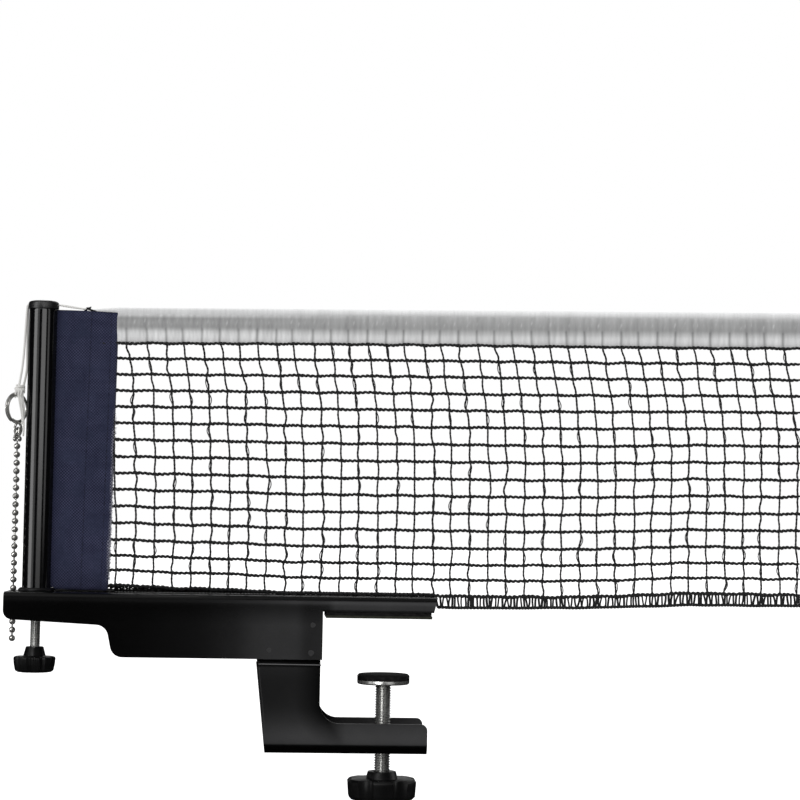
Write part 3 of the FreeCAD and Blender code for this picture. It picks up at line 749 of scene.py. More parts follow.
SPINDLE_THREAD_TOP = -33.05
SPINDLE_NECK = [  # radius, z, with a groove round it
    (3.6, SPINDLE_THREAD_TOP), (2.48, SPINDLE_THREAD_TOP), (2.48, -31.02), (2.2, -31.0),
    (2.2, -30.1), (2.48, -30.08), (2.48, -29.8), (2.2, -29.5), (0.01, -29.5)]
threaded_screw("height_screw", "height_screw", major=2.5, pitch=0.8, depth=0.26)
threaded_screw("clamp_spindle", "clamp_screw", major=4.0, pitch=1.25, depth=0.66,
               top=SPINDLE_THREAD_TOP, neck=SPINDLE_NECK)


# ------------------------------------------------------------------ height knob
def hub_shape(angle, radius):
    """Eight shallow facets."""
    facet = np.abs(((angle / TAU * 8) % 1.0) - 0.5) * 2
    return radius * (1 - 0.035 * (1 - facet))


def wheel_shape(angle, radius):
    """Nine notches with fine ridges between them, on the rim only."""
    notch = bell((angle / TAU * 9) % 1.0, 0.5, 0.13)
    ridge = 0.10 * np.cos(angle * 72)
    edge = rise(radius, 7.0, 2.0)
    return radius - edge * (1.15 * notch + ridge * (1 - notch)) - 0.02


def height_knob():
    """Faceted conical hub on a lobed wheel."""
    low, high = mm_box("height_knob")
    centre, radius = (low[0] + high[0]) / 2, (high[0] - low[0]) / 2
    top, bottom = high[2], low[2]
    wheel_top = top - 4.8
    mesh = MeshBuilder()
    hub = [(2.56, top - 0.1), (4.3, top), (5.5, wheel_top + 0.4), (6.4, wheel_top)]
    lathe(mesh, rounded(hub, 0.35), 96, centre, hub_shape)
    wheel = [(6.3, wheel_top), (9.6, wheel_top + 0.02), (radius, wheel_top - 0.7),
             (radius - 0.3, (wheel_top + bottom) / 2), (radius - 0.9, bottom + 0.9),
             (radius - 2.1, bottom + 0.05), (5.5, bottom), (4.8, bottom + 0.5),
             (0.01, bottom + 0.5)]
    lathe(mesh, rounded(wheel, 0.45), 288, centre, wheel_shape)
    mesh.object("height_knob_moulded", "black_plastic", "height_screw",
                replaces="height_knob", sharp=48)


height_knob()

# ------------------------------------------------------------------ welds and pressed edges, in lighter coats as painted highlights
SPOT_WELDS = [(-26.0, -15.9, 1.05, 0.085), (-5.5, -17.1, 1.25, 0.15),  # x, z, radius, height
              (-4.8, -3.5, 1.1, 0.05)]
WELD_RADII = np.array([0.0, 0.35, 0.6, 0.8, 1.0, 1.15])  # share of the weld's radius
WELD_RISE = np.array([0.2, 0.25, 0.7, 1.0, 0.45, 0.0])  # share of its height


def spot_welds():
    """Welds on both skirts of the bracket, in a lighter coat as a painted highlight."""
    mesh = MeshBuilder()
    low, high = mm_box("upper_bracket")
    angle = circle(28)
    quads = grid_quads(len(WELD_RADII), 28, wrap_cols=True)
    for x, z, radius, height in SPOT_WELDS:
        reach = (WELD_RADII * radius)[:, None]
        lift = (WELD_RISE * height + 0.004)[:, None]
        wobble = 1 + 0.06 * np.sin(3 * angle + x)
        for side, face in ((-1, low[1]), (1, high[1])):
            points = xyz(x + reach * np.cos(angle) * wobble, face + side * lift,
                         z + reach * np.sin(angle) * wobble)
            mesh.add(points, quads[:, ::-1] if side < 0 else quads)
    mesh.object("spot_welds", "painted_highlight_soft", "bracket", "bracket_steel")


def jaw_highlight_line(name, material, stations, count, radius, flat):
    """Lighter line through (x, z) stations on both faces of the jaw, a painted highlight."""
    mesh = MeshBuilder()
    low, high = mm_box("lower_jaw_frame")
    for y in (low[1] + 0.16, high[1] - 0.16):
        path = smooth_path([(x, y, z) for x, z in stations], count)
        tube(mesh, path, radius, sides=10, flat=flat)
    mesh.object(name, material, "bracket", "jaw_steel")


spot_welds()
# both lines are drawn in a lighter coat as painted highlights
jaw_highlight_line("jaw_step_highlight", "painted_highlight_bright",  # the step under the bracket
         [(-31.0, -22.75), (-20, -22.8), (-8, -22.85), (-0.6, -22.9)],
         count=24, radius=0.33, flat=0.7)
jaw_highlight_line("jaw_back_highlight", "painted_highlight_soft",  # the rolled slanted edge
         [(-30.6, -24.6), (-29.8, -33.0), (-28.2, -46.0), (-26.9, -59.5)],
         count=30, radius=0.24, flat=0.8)

# ------------------------------------------------------------------ net layout
ROWS = 16
COLUMNS = 38
CELLS = COLUMNS - 1
PITCH = 9.239  # column spacing
WAVES = 4  # stitches per cell
ROW_SHARE = np.array([  # how far down the net each row lies
    0, .0638, .1285, .1955, .2617, .3295, .3989, .4679, .5365, .6043, .6733, .7419, .8105,
    .8755, .9362, 1.0])
# Sideways drift of the columns: share of the way down, at the left end, at the right end
DRIFT = np.array([
    (0, -5.4, -7.8), (.032, -4.8, -6.9), (.096, -3.9, -5.2), (.162, -2.3, -4.1),
    (.229, -1.7, -2.3), (.296, -1.3, -1.6), (.364, -.7, -.5), (.433, -.3, -.1),
    (.502, .1, .1), (.57, .4, .2), (.639, .3, .1), (.708, .5, -.3), (.776, .7, -.4),
    (.843, .6, -.3), (.906, .4, .2), (.968, .3, .4), (1, .3, .4)]).T
PLATE_Z = mm_box("upper_bracket")[1][2]
REST_Z = PLATE_Z + 0.62  # yarn lying on the bracket
REST_END_X = 57.6  # past here the net hangs free
NET_END_X = mm_box("net_tape")[1][0]


def first_row_z(x):
    return np.interp(x, [-108, -95, 1, 82, 143, 204, 236],
                     [133.85, 134.1, 135.8, 136.8, 137.3, 138.1, 138.7])


def last_row_z(x):
    return np.interp(x, [-108, -92, -73, -53, -35, -16, 44, 64, 84, 104, 124, 144, 164, 185,
                         205, 225, 236],
                     [13.9, 13.5, 12.8, 12.6, 12.1, 11.2, 11.2, 11.0, 10.9, 11.1, 11.3, 12.0,
                      13.0, 14.1, 14.1, 13.9, 14.1])


def row_z(row, x):
    return first_row_z(x) + (last_row_z(x) - first_row_z(x)) * ROW_SHARE[row]


def rested(x, z):
    """z, held above the bracket where the net lies over it."""
    return np.maximum(z, np.where(x < REST_END_X, REST_Z, 0))


def sway(x, z):
    """How far the hanging net stands off its flat plane."""
    return 0.32 * bend_noise(x, z, 90, 120)


def lay_out_knots():
    """x of each crossing, by row and column; the first column has its own line."""
    base = -93.6 + PITCH * (np.arange(COLUMNS) - 1)
    left, right = (np.interp(ROW_SHARE, DRIFT[0], drift)[:, None] for drift in DRIFT[1:])
    knots = base + left + (right - left) * (base + 94) / 333.0
    knots[:, 0] = np.interp(ROW_SHARE, [0, .36, .6, .72, 1],
                            [-107.2, -104.9, -103.9, -102.6, -102.4])
    knots[:, 1:] += rng.normal(0, 0.26, (ROWS, CELLS)) + rng.normal(0, 0.18, (1, CELLS))
    knots[:, 0] += rng.normal(0, 0.12, ROWS)
    return knots


KNOT_X = lay_out_knots()


# ------------------------------------------------------------------ net rows
def row_place(row, cell):
    """x and z of a row, cell cells on from the first column."""
    knots = KNOT_X[row]
    x = np.interp(cell, np.arange(COLUMNS), knots)
    x = np.where(cell < 0, knots[0] + cell * PITCH, x)
    x = np.where(cell > CELLS, knots[-1] + (cell - CELLS) * PITCH, x)
    z = (row_z(row, x) + 0.17 * np.sin(TAU * cell * 0.5 + 0.9 + 0.4 * row)
         + 0.13 * bend_noise(x, 0, 50 + row, 24))
    if row == 0:
        z = z - 0.12
    if row == ROWS - 1:
        z = rested(x, z)
    return x, z


def row_stitches(mesh, row, fat, offset, tail_rng):
    """Overlapping slanted stitches; those past the last column draw from tail_rng."""
    within = int((CELLS + 1.0) * WAVES)
    t = np.linspace(-1, 1, 6)
    for k in range(within + 6):
        draw = rng if k < within else tail_rng
        centre = -0.55 + (k + 0.5 + draw.uniform(-0.10, 0.10)) / WAVES
        half = draw.uniform(0.60, 0.74) / WAVES
        x, z = row_place(row, np.linspace(centre - half, centre + half, 6))
        if x[-1] > NET_END_X:
            break
        knot = np.abs(((centre + 0.5) % 1.0) - 0.5) < 0.14
        drop = draw.uniform(0.34, 0.50) * (1.15 if knot else 1.0)
        radius = fat * (0.29 + 0.37 * np.sqrt(np.clip(1 - t ** 2, 0, 1)))
        radius = radius * (1.12 if knot else draw.uniform(0.90, 1.04))
        y = sway(x, z) + offset + 0.16 * t * (1 if k % 2 else -1)
        tube(mesh, xyz(x, y, z - drop * fat * np.sin(t * 1.45)), radius, ref=(0, 1, 0))


def net_rows(mesh):
    tail_rng = np.random.default_rng(77)
    for row in range(ROWS):
        fat = {0: 0.84, ROWS - 1: 1.20}.get(row, 1.04)
        x, z = row_place(row, np.linspace(-0.62, CELLS + 1.9, int((CELLS + 2.52) * WAVES * 6)))
        keep = x <= NET_END_X
        x, z = x[keep], z[keep]
        y = sway(x, z)
        for offset in ((-1.25, 1.25) if row == 0 else (0.0,)):
            tube(mesh, xyz(x, y + offset, z)[::2], 0.46 * fat, ref=(0, 1, 0))
            row_stitches(mesh, row, fat, offset, tail_rng)


# ------------------------------------------------------------------ net columns
def column_path(j):
    """x and z of the main yarn, the second yarn's x offset and the yarns' half gap in y."""
    t = np.linspace(0, 1, 13)[:-1]
    xs, zs, eyes, gaps = [], [], [], []
    strong = j % 2 == 0
    for i in range(ROWS - 1):
        x_top, x_low = KNOT_X[i, j], KNOT_X[i + 1, j]
        z_top, z_low = row_z(i, x_top), row_z(i + 1, x_low)
        bow = rng.normal(0, 0.20 if strong else 0.34)
        ess = rng.normal(0, 0.10 if strong else 0.20)
        if j == 0:
            bow, ess = bow * 0.4, ess * 0.4
        sign = 1 if rng.random() < 0.5 else -1
        chance = 0.50 if i > 11 else (0.15 if strong else 0.34)
        open_eye = rng.random() < chance
        eye = sign * (rng.uniform(0.65, 1.15) if open_eye else rng.uniform(0.05, 0.25))
        shift = rng.uniform(0.75, 1.35)
        xs.append(x_top + (x_low - x_top) * t + bow * np.sin(math.pi * t) ** 1.2
                  + ess * np.sin(TAU * t))
        zs.append(z_top + (z_low - z_top) * t)
        eyes.append(eye * np.sin(math.pi * t ** shift) ** 1.4)
        gaps.append(0.18 * np.cos(math.pi * t) * (1 if i % 2 else -1))
    x_end = KNOT_X[-1, j]
    ends = ([x_end], [row_z(ROWS - 1, x_end)], [0.0], [0.18])
    return [np.concatenate(part + [end]) for part, end in zip((xs, zs, eyes, gaps), ends)]


def column_wraps(mesh, j):
    """Rings where the column is knitted round each row."""
    angle = open_circle(11)
    for i in range(ROWS):
        x = KNOT_X[i, j]
        z = row_z(i, x)
        if x > NET_END_X - 0.8:
            continue
        tilt = rng.uniform(-0.35, 0.35)
        y = sway(x, z)
        if i == ROWS - 1:
            z = rested(x, z)
        ring = xyz(x + tilt * np.sin(angle) + 0.12 * np.cos(angle),
                   y + 0.50 * np.cos(angle), z + 0.50 * np.sin(angle))
        tube(mesh, ring, 0.20, sides=5, ref=(1, 0.02, 0), closed=True)


def net_columns(mesh, second):
    """A main yarn per column, and a thin one that lifts off it into small eyes."""
    for j in range(COLUMNS):
        x, z, eye, gap = column_path(j)
        if x.min() > NET_END_X - 0.3:
            continue
        x = np.minimum(x, NET_END_X - 0.35)
        z = rested(x, z)
        y = sway(x, z)
        if j == 0:
            y = y - 0.9
        radius = (0.49 if j % 2 else 0.45) * (1 + 0.13 * np.sin(np.arange(len(x)) * 2.1 + j))
        tube(mesh, xyz(x, y - gap, z), radius, ref=(0, 1, 0))
        tube(second, xyz(np.minimum(x + eye, NET_END_X - 0.2), y + gap, z), 0.25,
             ref=(0, 1, 0))
        column_wraps(mesh, j)


def net_mesh():
    mesh, second = MeshBuilder(), MeshBuilder()
    net_rows(mesh)
    net_columns(mesh, second)
    second.object("net_second_yarns", "net_yarn_grey", "post", "net_cord_black")
    mesh.object("net_mesh_knit", "net_cord_black", "post", replaces="net_mesh")


net_mesh()


# ------------------------------------------------------------------ knitted bottom edge
def low_yarn(x):
    """(y, z) of the lowest yarn: folded flat on the bracket, hanging free past it."""
    y = np.interp(x, [-134, -70, -40, 52, 54.6, 56.1, 57.0, 58.4, 241],
                  [4.2, 4.5, 5.2, 5.0, 4.2, 2.2, 0.8, 0.1, 0.0])
    lying = np.interp(x, [-134, 56.2, 56.9, 57.5], [PLATE_Z + 0.84, PLATE_Z + 0.84, 8.2, 5.35])
    free = np.interp(x, [56.5, 64, 84, 104, 124, 144, 164, 185, 225, 241],
                     [5.35, 5.3, 5.25, 5.55, 5.9, 6.5, 7.3, 8.35, 8.35, 8.65])
    return y, np.where(x > 57.5, free, lying)


def selvage_runs(mesh):
    """The lengthwise yarns."""
    x = np.arange(-132.4, NET_END_X, 0.24)
    y, z = low_yarn(x)
    wave = 0.15 * bend_noise(x, 0, 7, 30)
    y_mid, z_mid = y + wave * 2 * (y > 2), z + wave * (x > 62)
    twist = TAU * x / 3.2 + 0.5 * np.sin(x * 0.37)
    for phase in (0, math.pi):
        tube(mesh, xyz(x, y_mid + 0.34 * np.cos(twist + phase),
                       z_mid + 0.30 * np.sin(twist + phase)), 0.54, ref=(0, 1, 0))
    tube(mesh, xyz(x, y_mid, z_mid)[::3], 0.63, ref=(0, 1, 0))
    # a slack middle yarn fills the ladder where it lies folded on the bracket
    x = x[(x > -105.4) & (x < 50)]
    y, z = low_yarn(x)
    z = z + (rested(x, last_row_z(x)) - z) * 0.50
    z = z + 0.14 * np.sin(x * 2.3) + 0.10 * np.sin(x * 0.9)
    tube(mesh, xyz(x, y * 0.42, z)[::2], 0.33, ref=(0, 1, 0))
    # under the sleeve the edge is gathered against the plate
    x = np.arange(-131.6, -103.0, 0.5)
    for k in range(3):
        tube(mesh, xyz(x, -1.1 + 1.1 * k + 0.3 * bend_noise(x, 0, 70 + k, 9),
                       REST_Z + 0.14 * bend_noise(x, 0, 75 + k, 6)), 0.52, ref=(0, 1, 0))


def selvage_rungs(mesh):
    t = np.linspace(0, 1, 6)
    arch = np.sin(math.pi * t)
    x = -104.6
    count = 0
    while x < NET_END_X - 0.6:
        near_column = np.min(np.abs(KNOT_X[-1] - x)) < 1.3
        lean = rng.normal(0, 0.22) + (0.24 if count % 2 else -0.24)
        x_top, x_low = x - lean, x + lean
        z_top = rested(x_top, last_row_z(x_top))
        y_low, z_low = low_yarn(x_low)
        side = rng.normal(0, 0.16)
        path = xyz(x_top + (x_low - x_top) * t + side * arch, y_low * t + 0.035 * arch,
                   z_top + (z_low - z_top) * t + 0.35 * arch * (y_low > 2))
        radius = rng.uniform(0.44, 0.64) * (1.10 if near_column else 1.0)
        tube(mesh, path, radius, ref=(1, 0.01, 0))
        if near_column:
            x += rng.uniform(1.1, 1.35)
        else:
            x += rng.uniform(1.2, 1.55) if count % 2 else rng.uniform(1.75, 2.25)
        count += 1


def selvage():
    mesh = MeshBuilder()
    selvage_runs(mesh)
    selvage_rungs(mesh)
    mesh.object("net_selvage_ladder", "net_cord_black", "post", replaces="net_selvage")


selvage()

# ------------------------------------------------------------------ top tape
TAPE_START_X = -116.0
TAPE_HALF = 1.1  # half thickness of the fold
# Tone by depth below the fold, painted light and shade: a painted highlight on the bright fold, a
# doubled grey band of painted shade, a thin lower band
LEFT_DEPTHS = [0, 0.4, 0.9, 2.4, 3.4, 3.9, 4.5, 5.0, 7.0, 9.0, 9.8, 10.6, 11.4, 12.6, 14.2,
               15.6, 17.0]
LEFT_TONES = [0.95, 0.88, 0.76, 0.70, 0.62, 0.55, 0.43, 0.345, 0.375, 0.35, 0.40, 0.52, 0.66,
              0.77, 0.78, 0.70, 0.58]
RIGHT_DEPTHS = [0, 0.5, 1.0, 1.7, 2.3, 2.9, 3.5, 4.3, 6.0, 8.4, 9.4, 10.2, 11.0, 12.0, 13.2,
                14.4, 15.6, 17.0]
RIGHT_TONES = [1.0, 1.0, 0.92, 0.82, 0.70, 0.57, 0.50, 0.46, 0.42, 0.372, 0.375, 0.43, 0.50,
               0.58, 0.70, 0.74, 0.70, 0.58]


def tape_tone(x, z, depth):
    """Painted light and shade on the tape's layers, different at the left and right ends, with
    painted shade where the net's columns show through the lower band.
    """
    right = rise(x, -60, 90) * (1 - 0.25 * rise(x, 150, 80))
    tone = (np.interp(depth, LEFT_DEPTHS, LEFT_TONES) * (1 - right)
            + np.interp(depth, RIGHT_DEPTHS, RIGHT_TONES) * right)
    fine = (0.02 + 0.055 * (depth > 3.2)) * (1 - 0.5 * right)
    tone *= (1 + 0.07 * bend_noise(x, z * 0.15, 21, 5.0) * (depth > 3.0)
             + fine * bend_noise(x, z * 0.2, 22, 1.6) + 0.03 * bend_noise(x, z * 0.1, 23, 12))
    tone += (0.16 * np.clip(bend_noise(x, z * 0.35, 24, 2.1) - 0.55, 0, 1)
             * bell(depth, 6.8, 1.7))
    show = np.zeros_like(tone)
    for j, knot_x in enumerate(KNOT_X[0]):
        line = knot_x - 0.35 - 0.03 * (z - first_row_z(knot_x))
        line = line + 0.25 * bend_noise(j * 7, z, 33, 9)
        show = np.maximum(show, bell(x, line, 0.66))
    band = rise(depth, 9.2, 1.2)
    return tone * (1 - 0.46 * show * band) * (1 - 0.08 * show * (1 - band) * (depth > 3.4))


def add_cloth(made, thickness, offset):
    cloth = made.modifiers.new("cloth", "SOLIDIFY")
    cloth.thickness = thickness
    cloth.offset = offset


def top_tape():
    """Tape folded over the net's headline: up the front, over, and down the back."""
    stations = np.concatenate([np.linspace(TAPE_START_X, -104, 24),
                               np.arange(-103.6, NET_END_X + 0.01, 0.45)])
    stations[-1] = NET_END_X
    rising = np.concatenate([np.linspace(0, 0.9, 34), np.linspace(0.91, 1.0, 9)])
    over = np.concatenate([rising, rising[::-1][1:]])
    half_count = len(rising)
    side = np.concatenate([-np.ones(half_count - 1), [0], np.ones(half_count - 1)])
    x, share = np.meshgrid(stations, over, indexing="ij")
    top = np.interp(x, [TAPE_START_X, -104.5, 241], [150.35, 151.4, 156.45])
    low = np.interp(x, [TAPE_START_X, -108, -107.5, -104, 241],
                    [149.3, 147.5, 136.1, 134.45, 138.90])
    height = top - low
    z = low + height * share
    depth = (1 - share) * height
    fold = np.sqrt(np.clip(TAPE_HALF ** 2 - (TAPE_HALF - depth) ** 2, 0, None))
    half = np.where(depth < TAPE_HALF, fold, TAPE_HALF)
    half = half - 0.28 * bell(depth, 3.1, 0.9) - 0.22 * rise(depth, 9.0, 6)
    y = (side * half + 0.10 * bend_noise(x, z, 3, 34) * rise(depth, 0, 4)
         + 0.35 * bend_noise(x, z, 90, 120) * rise(depth, 0, 12))
    y = y * np.clip((x + 107.0) / 3.2, 0.30, 1)
    # the two layers meet at the cut end
    loop = len(over)
    first = (len(stations) - 1) * loop
    k = np.arange(half_count - 2)
    cut = np.stack([k, k + 1, loop - 2 - k, loop - 1 - k], -1) + first
    tip = np.array([[half_count - 2, half_count - 1, half_count]]) + first
    mesh = MeshBuilder()
    mesh.add(xyz(x, y, z), np.concatenate([grid_quads(len(stations), loop), cut]), tip)
    tape = mesh.object("net_tape_folded", "tape_fabric", "post", replaces="net_tape",
                       attributes={"tone": tape_tone(x, z, depth)})
    add_cloth(tape, thickness=0.00028, offset=-1)


top_tape()

# ------------------------------------------------------------------ navy sleeve
SLEEVE_LOW = 11.9
SLEEVE_HIGH = 149.3
SLEEVE_START_X = POST_X + 2.6
POST_SIDE_X = POST_X + POST_RADIUS
ROD_LOOP_RADIUS = 2.65
HEM_WIDTH = 3.3
LEVELS = np.linspace(0, 1, 150)


def sleeve_edge(z):
    return np.interp(z, [11.9, 25, 60, 98, 149.2], [-106.1, -105.9, -105.3, -104.6, -104.05])


def seam_line(z):
    return np.interp(z, [12, 149], [-119.3, -117.2])


def hem_line(z):
    return sleeve_edge(z) - HEM_WIDTH


def sleeve_grid():
    """x, z and half thickness of the flat part, by level and across."""
    level_edges = sleeve_edge(SLEEVE_LOW + (SLEEVE_HIGH - SLEEVE_LOW) * LEVELS)
    lengths = (level_edges - SLEEVE_START_X)[:, None]
    distance = lengths * np.linspace(0, 1, 86)
    half = np.array([
        np.interp(row, [0, 3.8, 6.2, 12, 24, 33, length - 0.5, length],
                  [0.95, 1.0, 1.25, 1.5, 1.62, 1.55, 1.38, 0.95])
        for row, (length,) in zip(distance, lengths)])
    x = SLEEVE_START_X + distance
    top = np.interp(x, [-139, -134, -120, -104], [149.3, 149.75, 149.6, 149.0])
    low = np.interp(x, [SLEEVE_START_X, POST_SIDE_X - 0.50, POST_SIDE_X - 0.15, POST_X + 8.15,
                        POST_X + 9.05, -100], [14.7, 14.7, 12.38, 12.38, 11.5, 11.2])
    return x, low + (top - low) * LEVELS[:, None], top, half


def sleeve_faces(x, z, half):
    """y of the front and back layers."""
    edge = sleeve_edge(z)
    free = rise(x, POST_SIDE_X + 1.5, 5.0)
    hem = 1 / (1 + np.exp(-(x - hem_line(z)) / 0.18))
    groove = bell(x, seam_line(z), 0.45)
    hem_groove = bell(x, edge - 3.35, 0.35)
    broad = bend_noise(x * 0.4, z, 8, 46)
    ripple = (0.16 * bend_noise(x, z, 5, 22) + 0.07 * bend_noise(x, z * 1.6, 6, 7)
              + 0.22 * broad)
    back_ripple = 0.16 * bend_noise(x, z, 15, 22) + 0.20 * broad
    roll = np.sqrt(np.clip(1 - (1 - (edge - x) / 1.2) ** 2, 0, 1)) * 0.9 + 0.1
    roll = np.where(x > edge - 1.2, roll, 1)
    front = half + free * (ripple + 0.12 * hem - 0.12 * groove - 0.10 * hem_groove)
    back = half + free * (back_ripple * 0.6 + 0.16 * hem - 0.20 * groove)
    return -front * roll, back * roll


def sleeve_shade(x, z, top):
    """Darkening along the seams, the post and the ends, with cloudy streaks."""
    seam = seam_line(z)
    shade = (0.42 * bell(x, seam, 0.42)
             * (0.35 + 0.65 * np.clip(np.sin(z * 0.8 + 2 * np.sin(z * 0.11)), 0, 1)))
    shade += (0.30 * bell(x, sleeve_edge(z) - 3.35, 0.35)
              * (0.4 + 0.6 * np.clip(np.sin(z * 0.6), 0, 1)))
    shade += 0.35 * bell(x, POST_SIDE_X, 1.6)
    shade += 0.45 * np.exp(-((top - z) / 0.8) ** 2) + 0.35 * bell(z, 12.0, 0.9)
    shade += 0.22 * np.clip(bend_noise(x * 0.35, z, 40, 9), 0, 1) * (x > seam)
    shade += 0.16 * np.clip(bend_noise(x, z * 0.2, 41, 5), 0, 1)
    shade += 0.13 * np.clip(bend_noise(x * 0.15, z, 42, 4.5), 0, 1) * rise(z, 40, 40)
    return np.clip(shade, 0, 0.9)


def sleeve_cloth(x, z, top, front, back):
    """Front layer, back layer and the loop round the rod inside the post."""
    angle = np.linspace(math.radians(22), math.radians(338), 26)
    loop_z = (14.7 + (148.2 - 14.7) * LEVELS)[:, None]
    loop = turned(POST_X, ROD_LOOP_RADIUS, angle, loop_z)
    points = np.concatenate([xyz(x, front, z), xyz(x, back, z)[:, ::-1], loop], 1)
    shade = sleeve_shade(x, z, top)
    # the back layer takes the front's painted shade a little weaker, and the loop inside the post
    # an even painted shade
    shade = np.concatenate([shade, shade[:, ::-1] * 0.8, np.full(loop.shape[:2], 0.3)], 1)
    ragged = rise(x, sleeve_edge(z) - 1.2 - 0.4 * bend_noise(0, z, 55, 12), 0.8)
    ragged = ragged * rise(z, 104, -14) * rise(z, 15, 9)
    pale = np.concatenate([ragged, ragged[:, ::-1], np.zeros(loop.shape[:2])], 1)
    mesh = MeshBuilder()
    mesh.add(points, grid_quads(*points.shape[:2], wrap_cols=True))
    sleeve = mesh.object("net_sleeve_cloth", "sleeve_fabric", "post", replaces="net_sleeve",
                         attributes={"shade": shade, "pale": pale})
    add_cloth(sleeve, thickness=0.00030, offset=0)


def sleeve_stitches(grid_x, grid_z, front, back):
    """Stitches along the seam and the hem on both sides."""
    length, gap = 2.1, 0.75
    mesh = MeshBuilder()

    def surface_y(face, x, z):
        i = np.argmin(np.abs(grid_z[:, 60] - z))
        return face[i, np.argmin(np.abs(grid_x[i] - x))]

    for side, face in ((-1, front), (1, back)):
        sunk, out = side * 0.05, side * 0.20
        for line in (seam_line, hem_line):
            z = 13.2
            while z < 148.0:
                z_end = z + length
                x, x_end = line(z), line(z_end)
                y, y_end = surface_y(face, x, z), surface_y(face, x_end, z_end)
                middle = ((x + x_end) / 2, (y + y_end) / 2 + out * 1.1, (z + z_end) / 2)
                tube(mesh, [(x, y - sunk, z), (x + 0.02, y + out, z + 0.25), middle,
                            (x_end - 0.02, y_end + out, z_end - 0.25),
                            (x_end, y_end - sunk, z_end)], 0.085, sides=5, ref=(1, 0, 0))
                z += length + gap
    mesh.object("sleeve_stitches", "thread_navy", "post", "sleeve_fabric")


def sleeve_fringe():
    mesh = MeshBuilder()
    for k in range(520):
        z = rng.uniform(17, 99 if k % 3 else 60)
        edge = float(sleeve_edge(z))
        y = rng.uniform(-1.0, 1.0)
        length = rng.uniform(0.2, 1.05)
        climb = rng.normal(0, 0.6)
        path = smooth_path([(edge - 0.4, y, z),
                            (edge + 0.1, y + rng.normal(0, .1), z + climb * 0.3),
                            (edge + length, y + rng.normal(0, .25), z + climb)], 6)
        tube(mesh, path, rng.uniform(0.06, 0.12), sides=4, ref=(0, 1, 0.03))
    for k in range(5):  # light yarns along the raw edge
        start, end = rng.uniform(14, 45), rng.uniform(60, 97)
        z = np.linspace(start, end, 60)
        tube(mesh, xyz(sleeve_edge(z) + 0.16 + 0.13 * bend_noise(z, z, 60 + k, 9),
                       -0.9 + 0.4 * k + 0.1 * bend_noise(z, z, 80 + k, 7), z),
             0.10, sides=5, ref=(0, 1, 0))
    mesh.object("sleeve_edge_fringe", "fringe_grey", "post", "sleeve_fabric")


def loose_threads():
    """Black threads at the top of the sleeve."""
    mesh = MeshBuilder()
    for k in range(7):
        x = -120.4 + rng.uniform(-0.7, 0.7)
        path = smooth_path([
            (x, -0.7 + 0.2 * k, 149.2), (x + rng.uniform(0.2, 0.8), -0.9 + 0.2 * k, 150.4),
            (x + rng.uniform(1.3, 2.6), -0.8 + 0.15 * k, 150.7 + rng.uniform(0, 0.9))], 8)
        tube(mesh, path, 0.30, ref=(0, 1, 0))
    for k in range(5):
        x = -119.3 + rng.uniform(-0.3, 0.8)
        path = smooth_path([
            (x, -0.9 + 0.2 * k, 150.6), (x + 1.2, -1.3 + 0.2 * k, 150.2),
            (x + rng.uniform(2.2, 3.6), -1.5 + 0.2 * k, 149.55)], 8)
        tube(mesh, path, 0.26, ref=(0, 1, 0))
    mesh.object("sleeve_loose_threads", "net_cord_black", "post")


def net_sleeve():
    x, z, top, half = sleeve_grid()
    front, back = sleeve_faces(x, z, half)
    sleeve_cloth(x, z, top, front, back)
    sleeve_stitches(x, z, front, back)
    sleeve_fringe()
    loose_threads()


net_sleeve()

# ------------------------------------------------------------------ white cord
GROOVE_Z = 151.6  # the cap's cord groove


def net_cord():
    """Two strands from the tape over the cap."""
    mesh = MeshBuilder()
    for k in (-1, 1):
        path = [(-115.0, 0.35 * k, 149.6), (-119.0, 0.4 * k, 150.35),
                (-122.5, 0.42 * k, 150.75 + 0.05 * k), (-127.0, 0.45 * k, 151.35 + 0.18 * k),
                (-131.5, 0.47 * k, 151.95 + 0.15 * k), (-133.4, 0.46 * k, GROOVE_Z + 0.55),
                (-137.0, 0.45 * k, GROOVE_Z + 0.47), (POST_X, 0.45 * k, GROOVE_Z + 0.45),
                (-145.5, 0.45 * k, GROOVE_Z + 0.47), (-148.2, 0.46 * k, GROOVE_Z + 0.52),
                (-148.95, 0.48 * k, GROOVE_Z + 0.15)]
        tube(mesh, smooth_path(path, 90), 0.40, sides=8)
    mesh.object("net_cord_strands", "cord_white", "post", replaces="net_cord")


net_cord()
ring_low, ring_high = mm_box("split_ring")
RING_CENTRE = np.array([(ring_low[0] + ring_high[0]) / 2, 0.0,
                        (ring_low[2] + ring_high[2]) / 2])
RING_WIRE = 1.0
RING_RADIUS = (ring_high[2] - ring_low[2]) / 2 - RING_WIRE
RING_TOP = RING_CENTRE[2] + RING_RADIUS + RING_WIRE
KNOT_CENTRE_X = -151.9


def tension_cord():
    """Free length from the cap down to the ring."""
    mesh = MeshBuilder()
    front = [(-148.95, -0.5, GROOVE_Z + 0.15), (-149.25, -0.6, GROOVE_Z - 2.0),
             (-149.75, -0.85, 138.0), (-150.2, -1.0, 128.0), (-150.9, -1.0, 120.0),
             (-152.0, -0.9, RING_TOP + 4.4), (-152.1, -0.8, RING_TOP + 3.2)]
    back = [(-148.95, 0.5, GROOVE_Z + 0.15), (-149.00, 0.55, GROOVE_Z - 2.0),
            (-148.9, 0.75, 138.0), (-148.8, 0.8, 128.0), (-148.75, 0.8, 120.0),
            (-149.9, 0.7, RING_TOP + 4.4), (-150.4, 0.6, RING_TOP + 3.2)]
    for path in (front, back):
        tube(mesh, smooth_path(path, 120), 0.57, sides=8)
    cord = mesh.object("tension_cord_strands", "cord_white", None, replaces="tension_cord")
    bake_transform(cord)


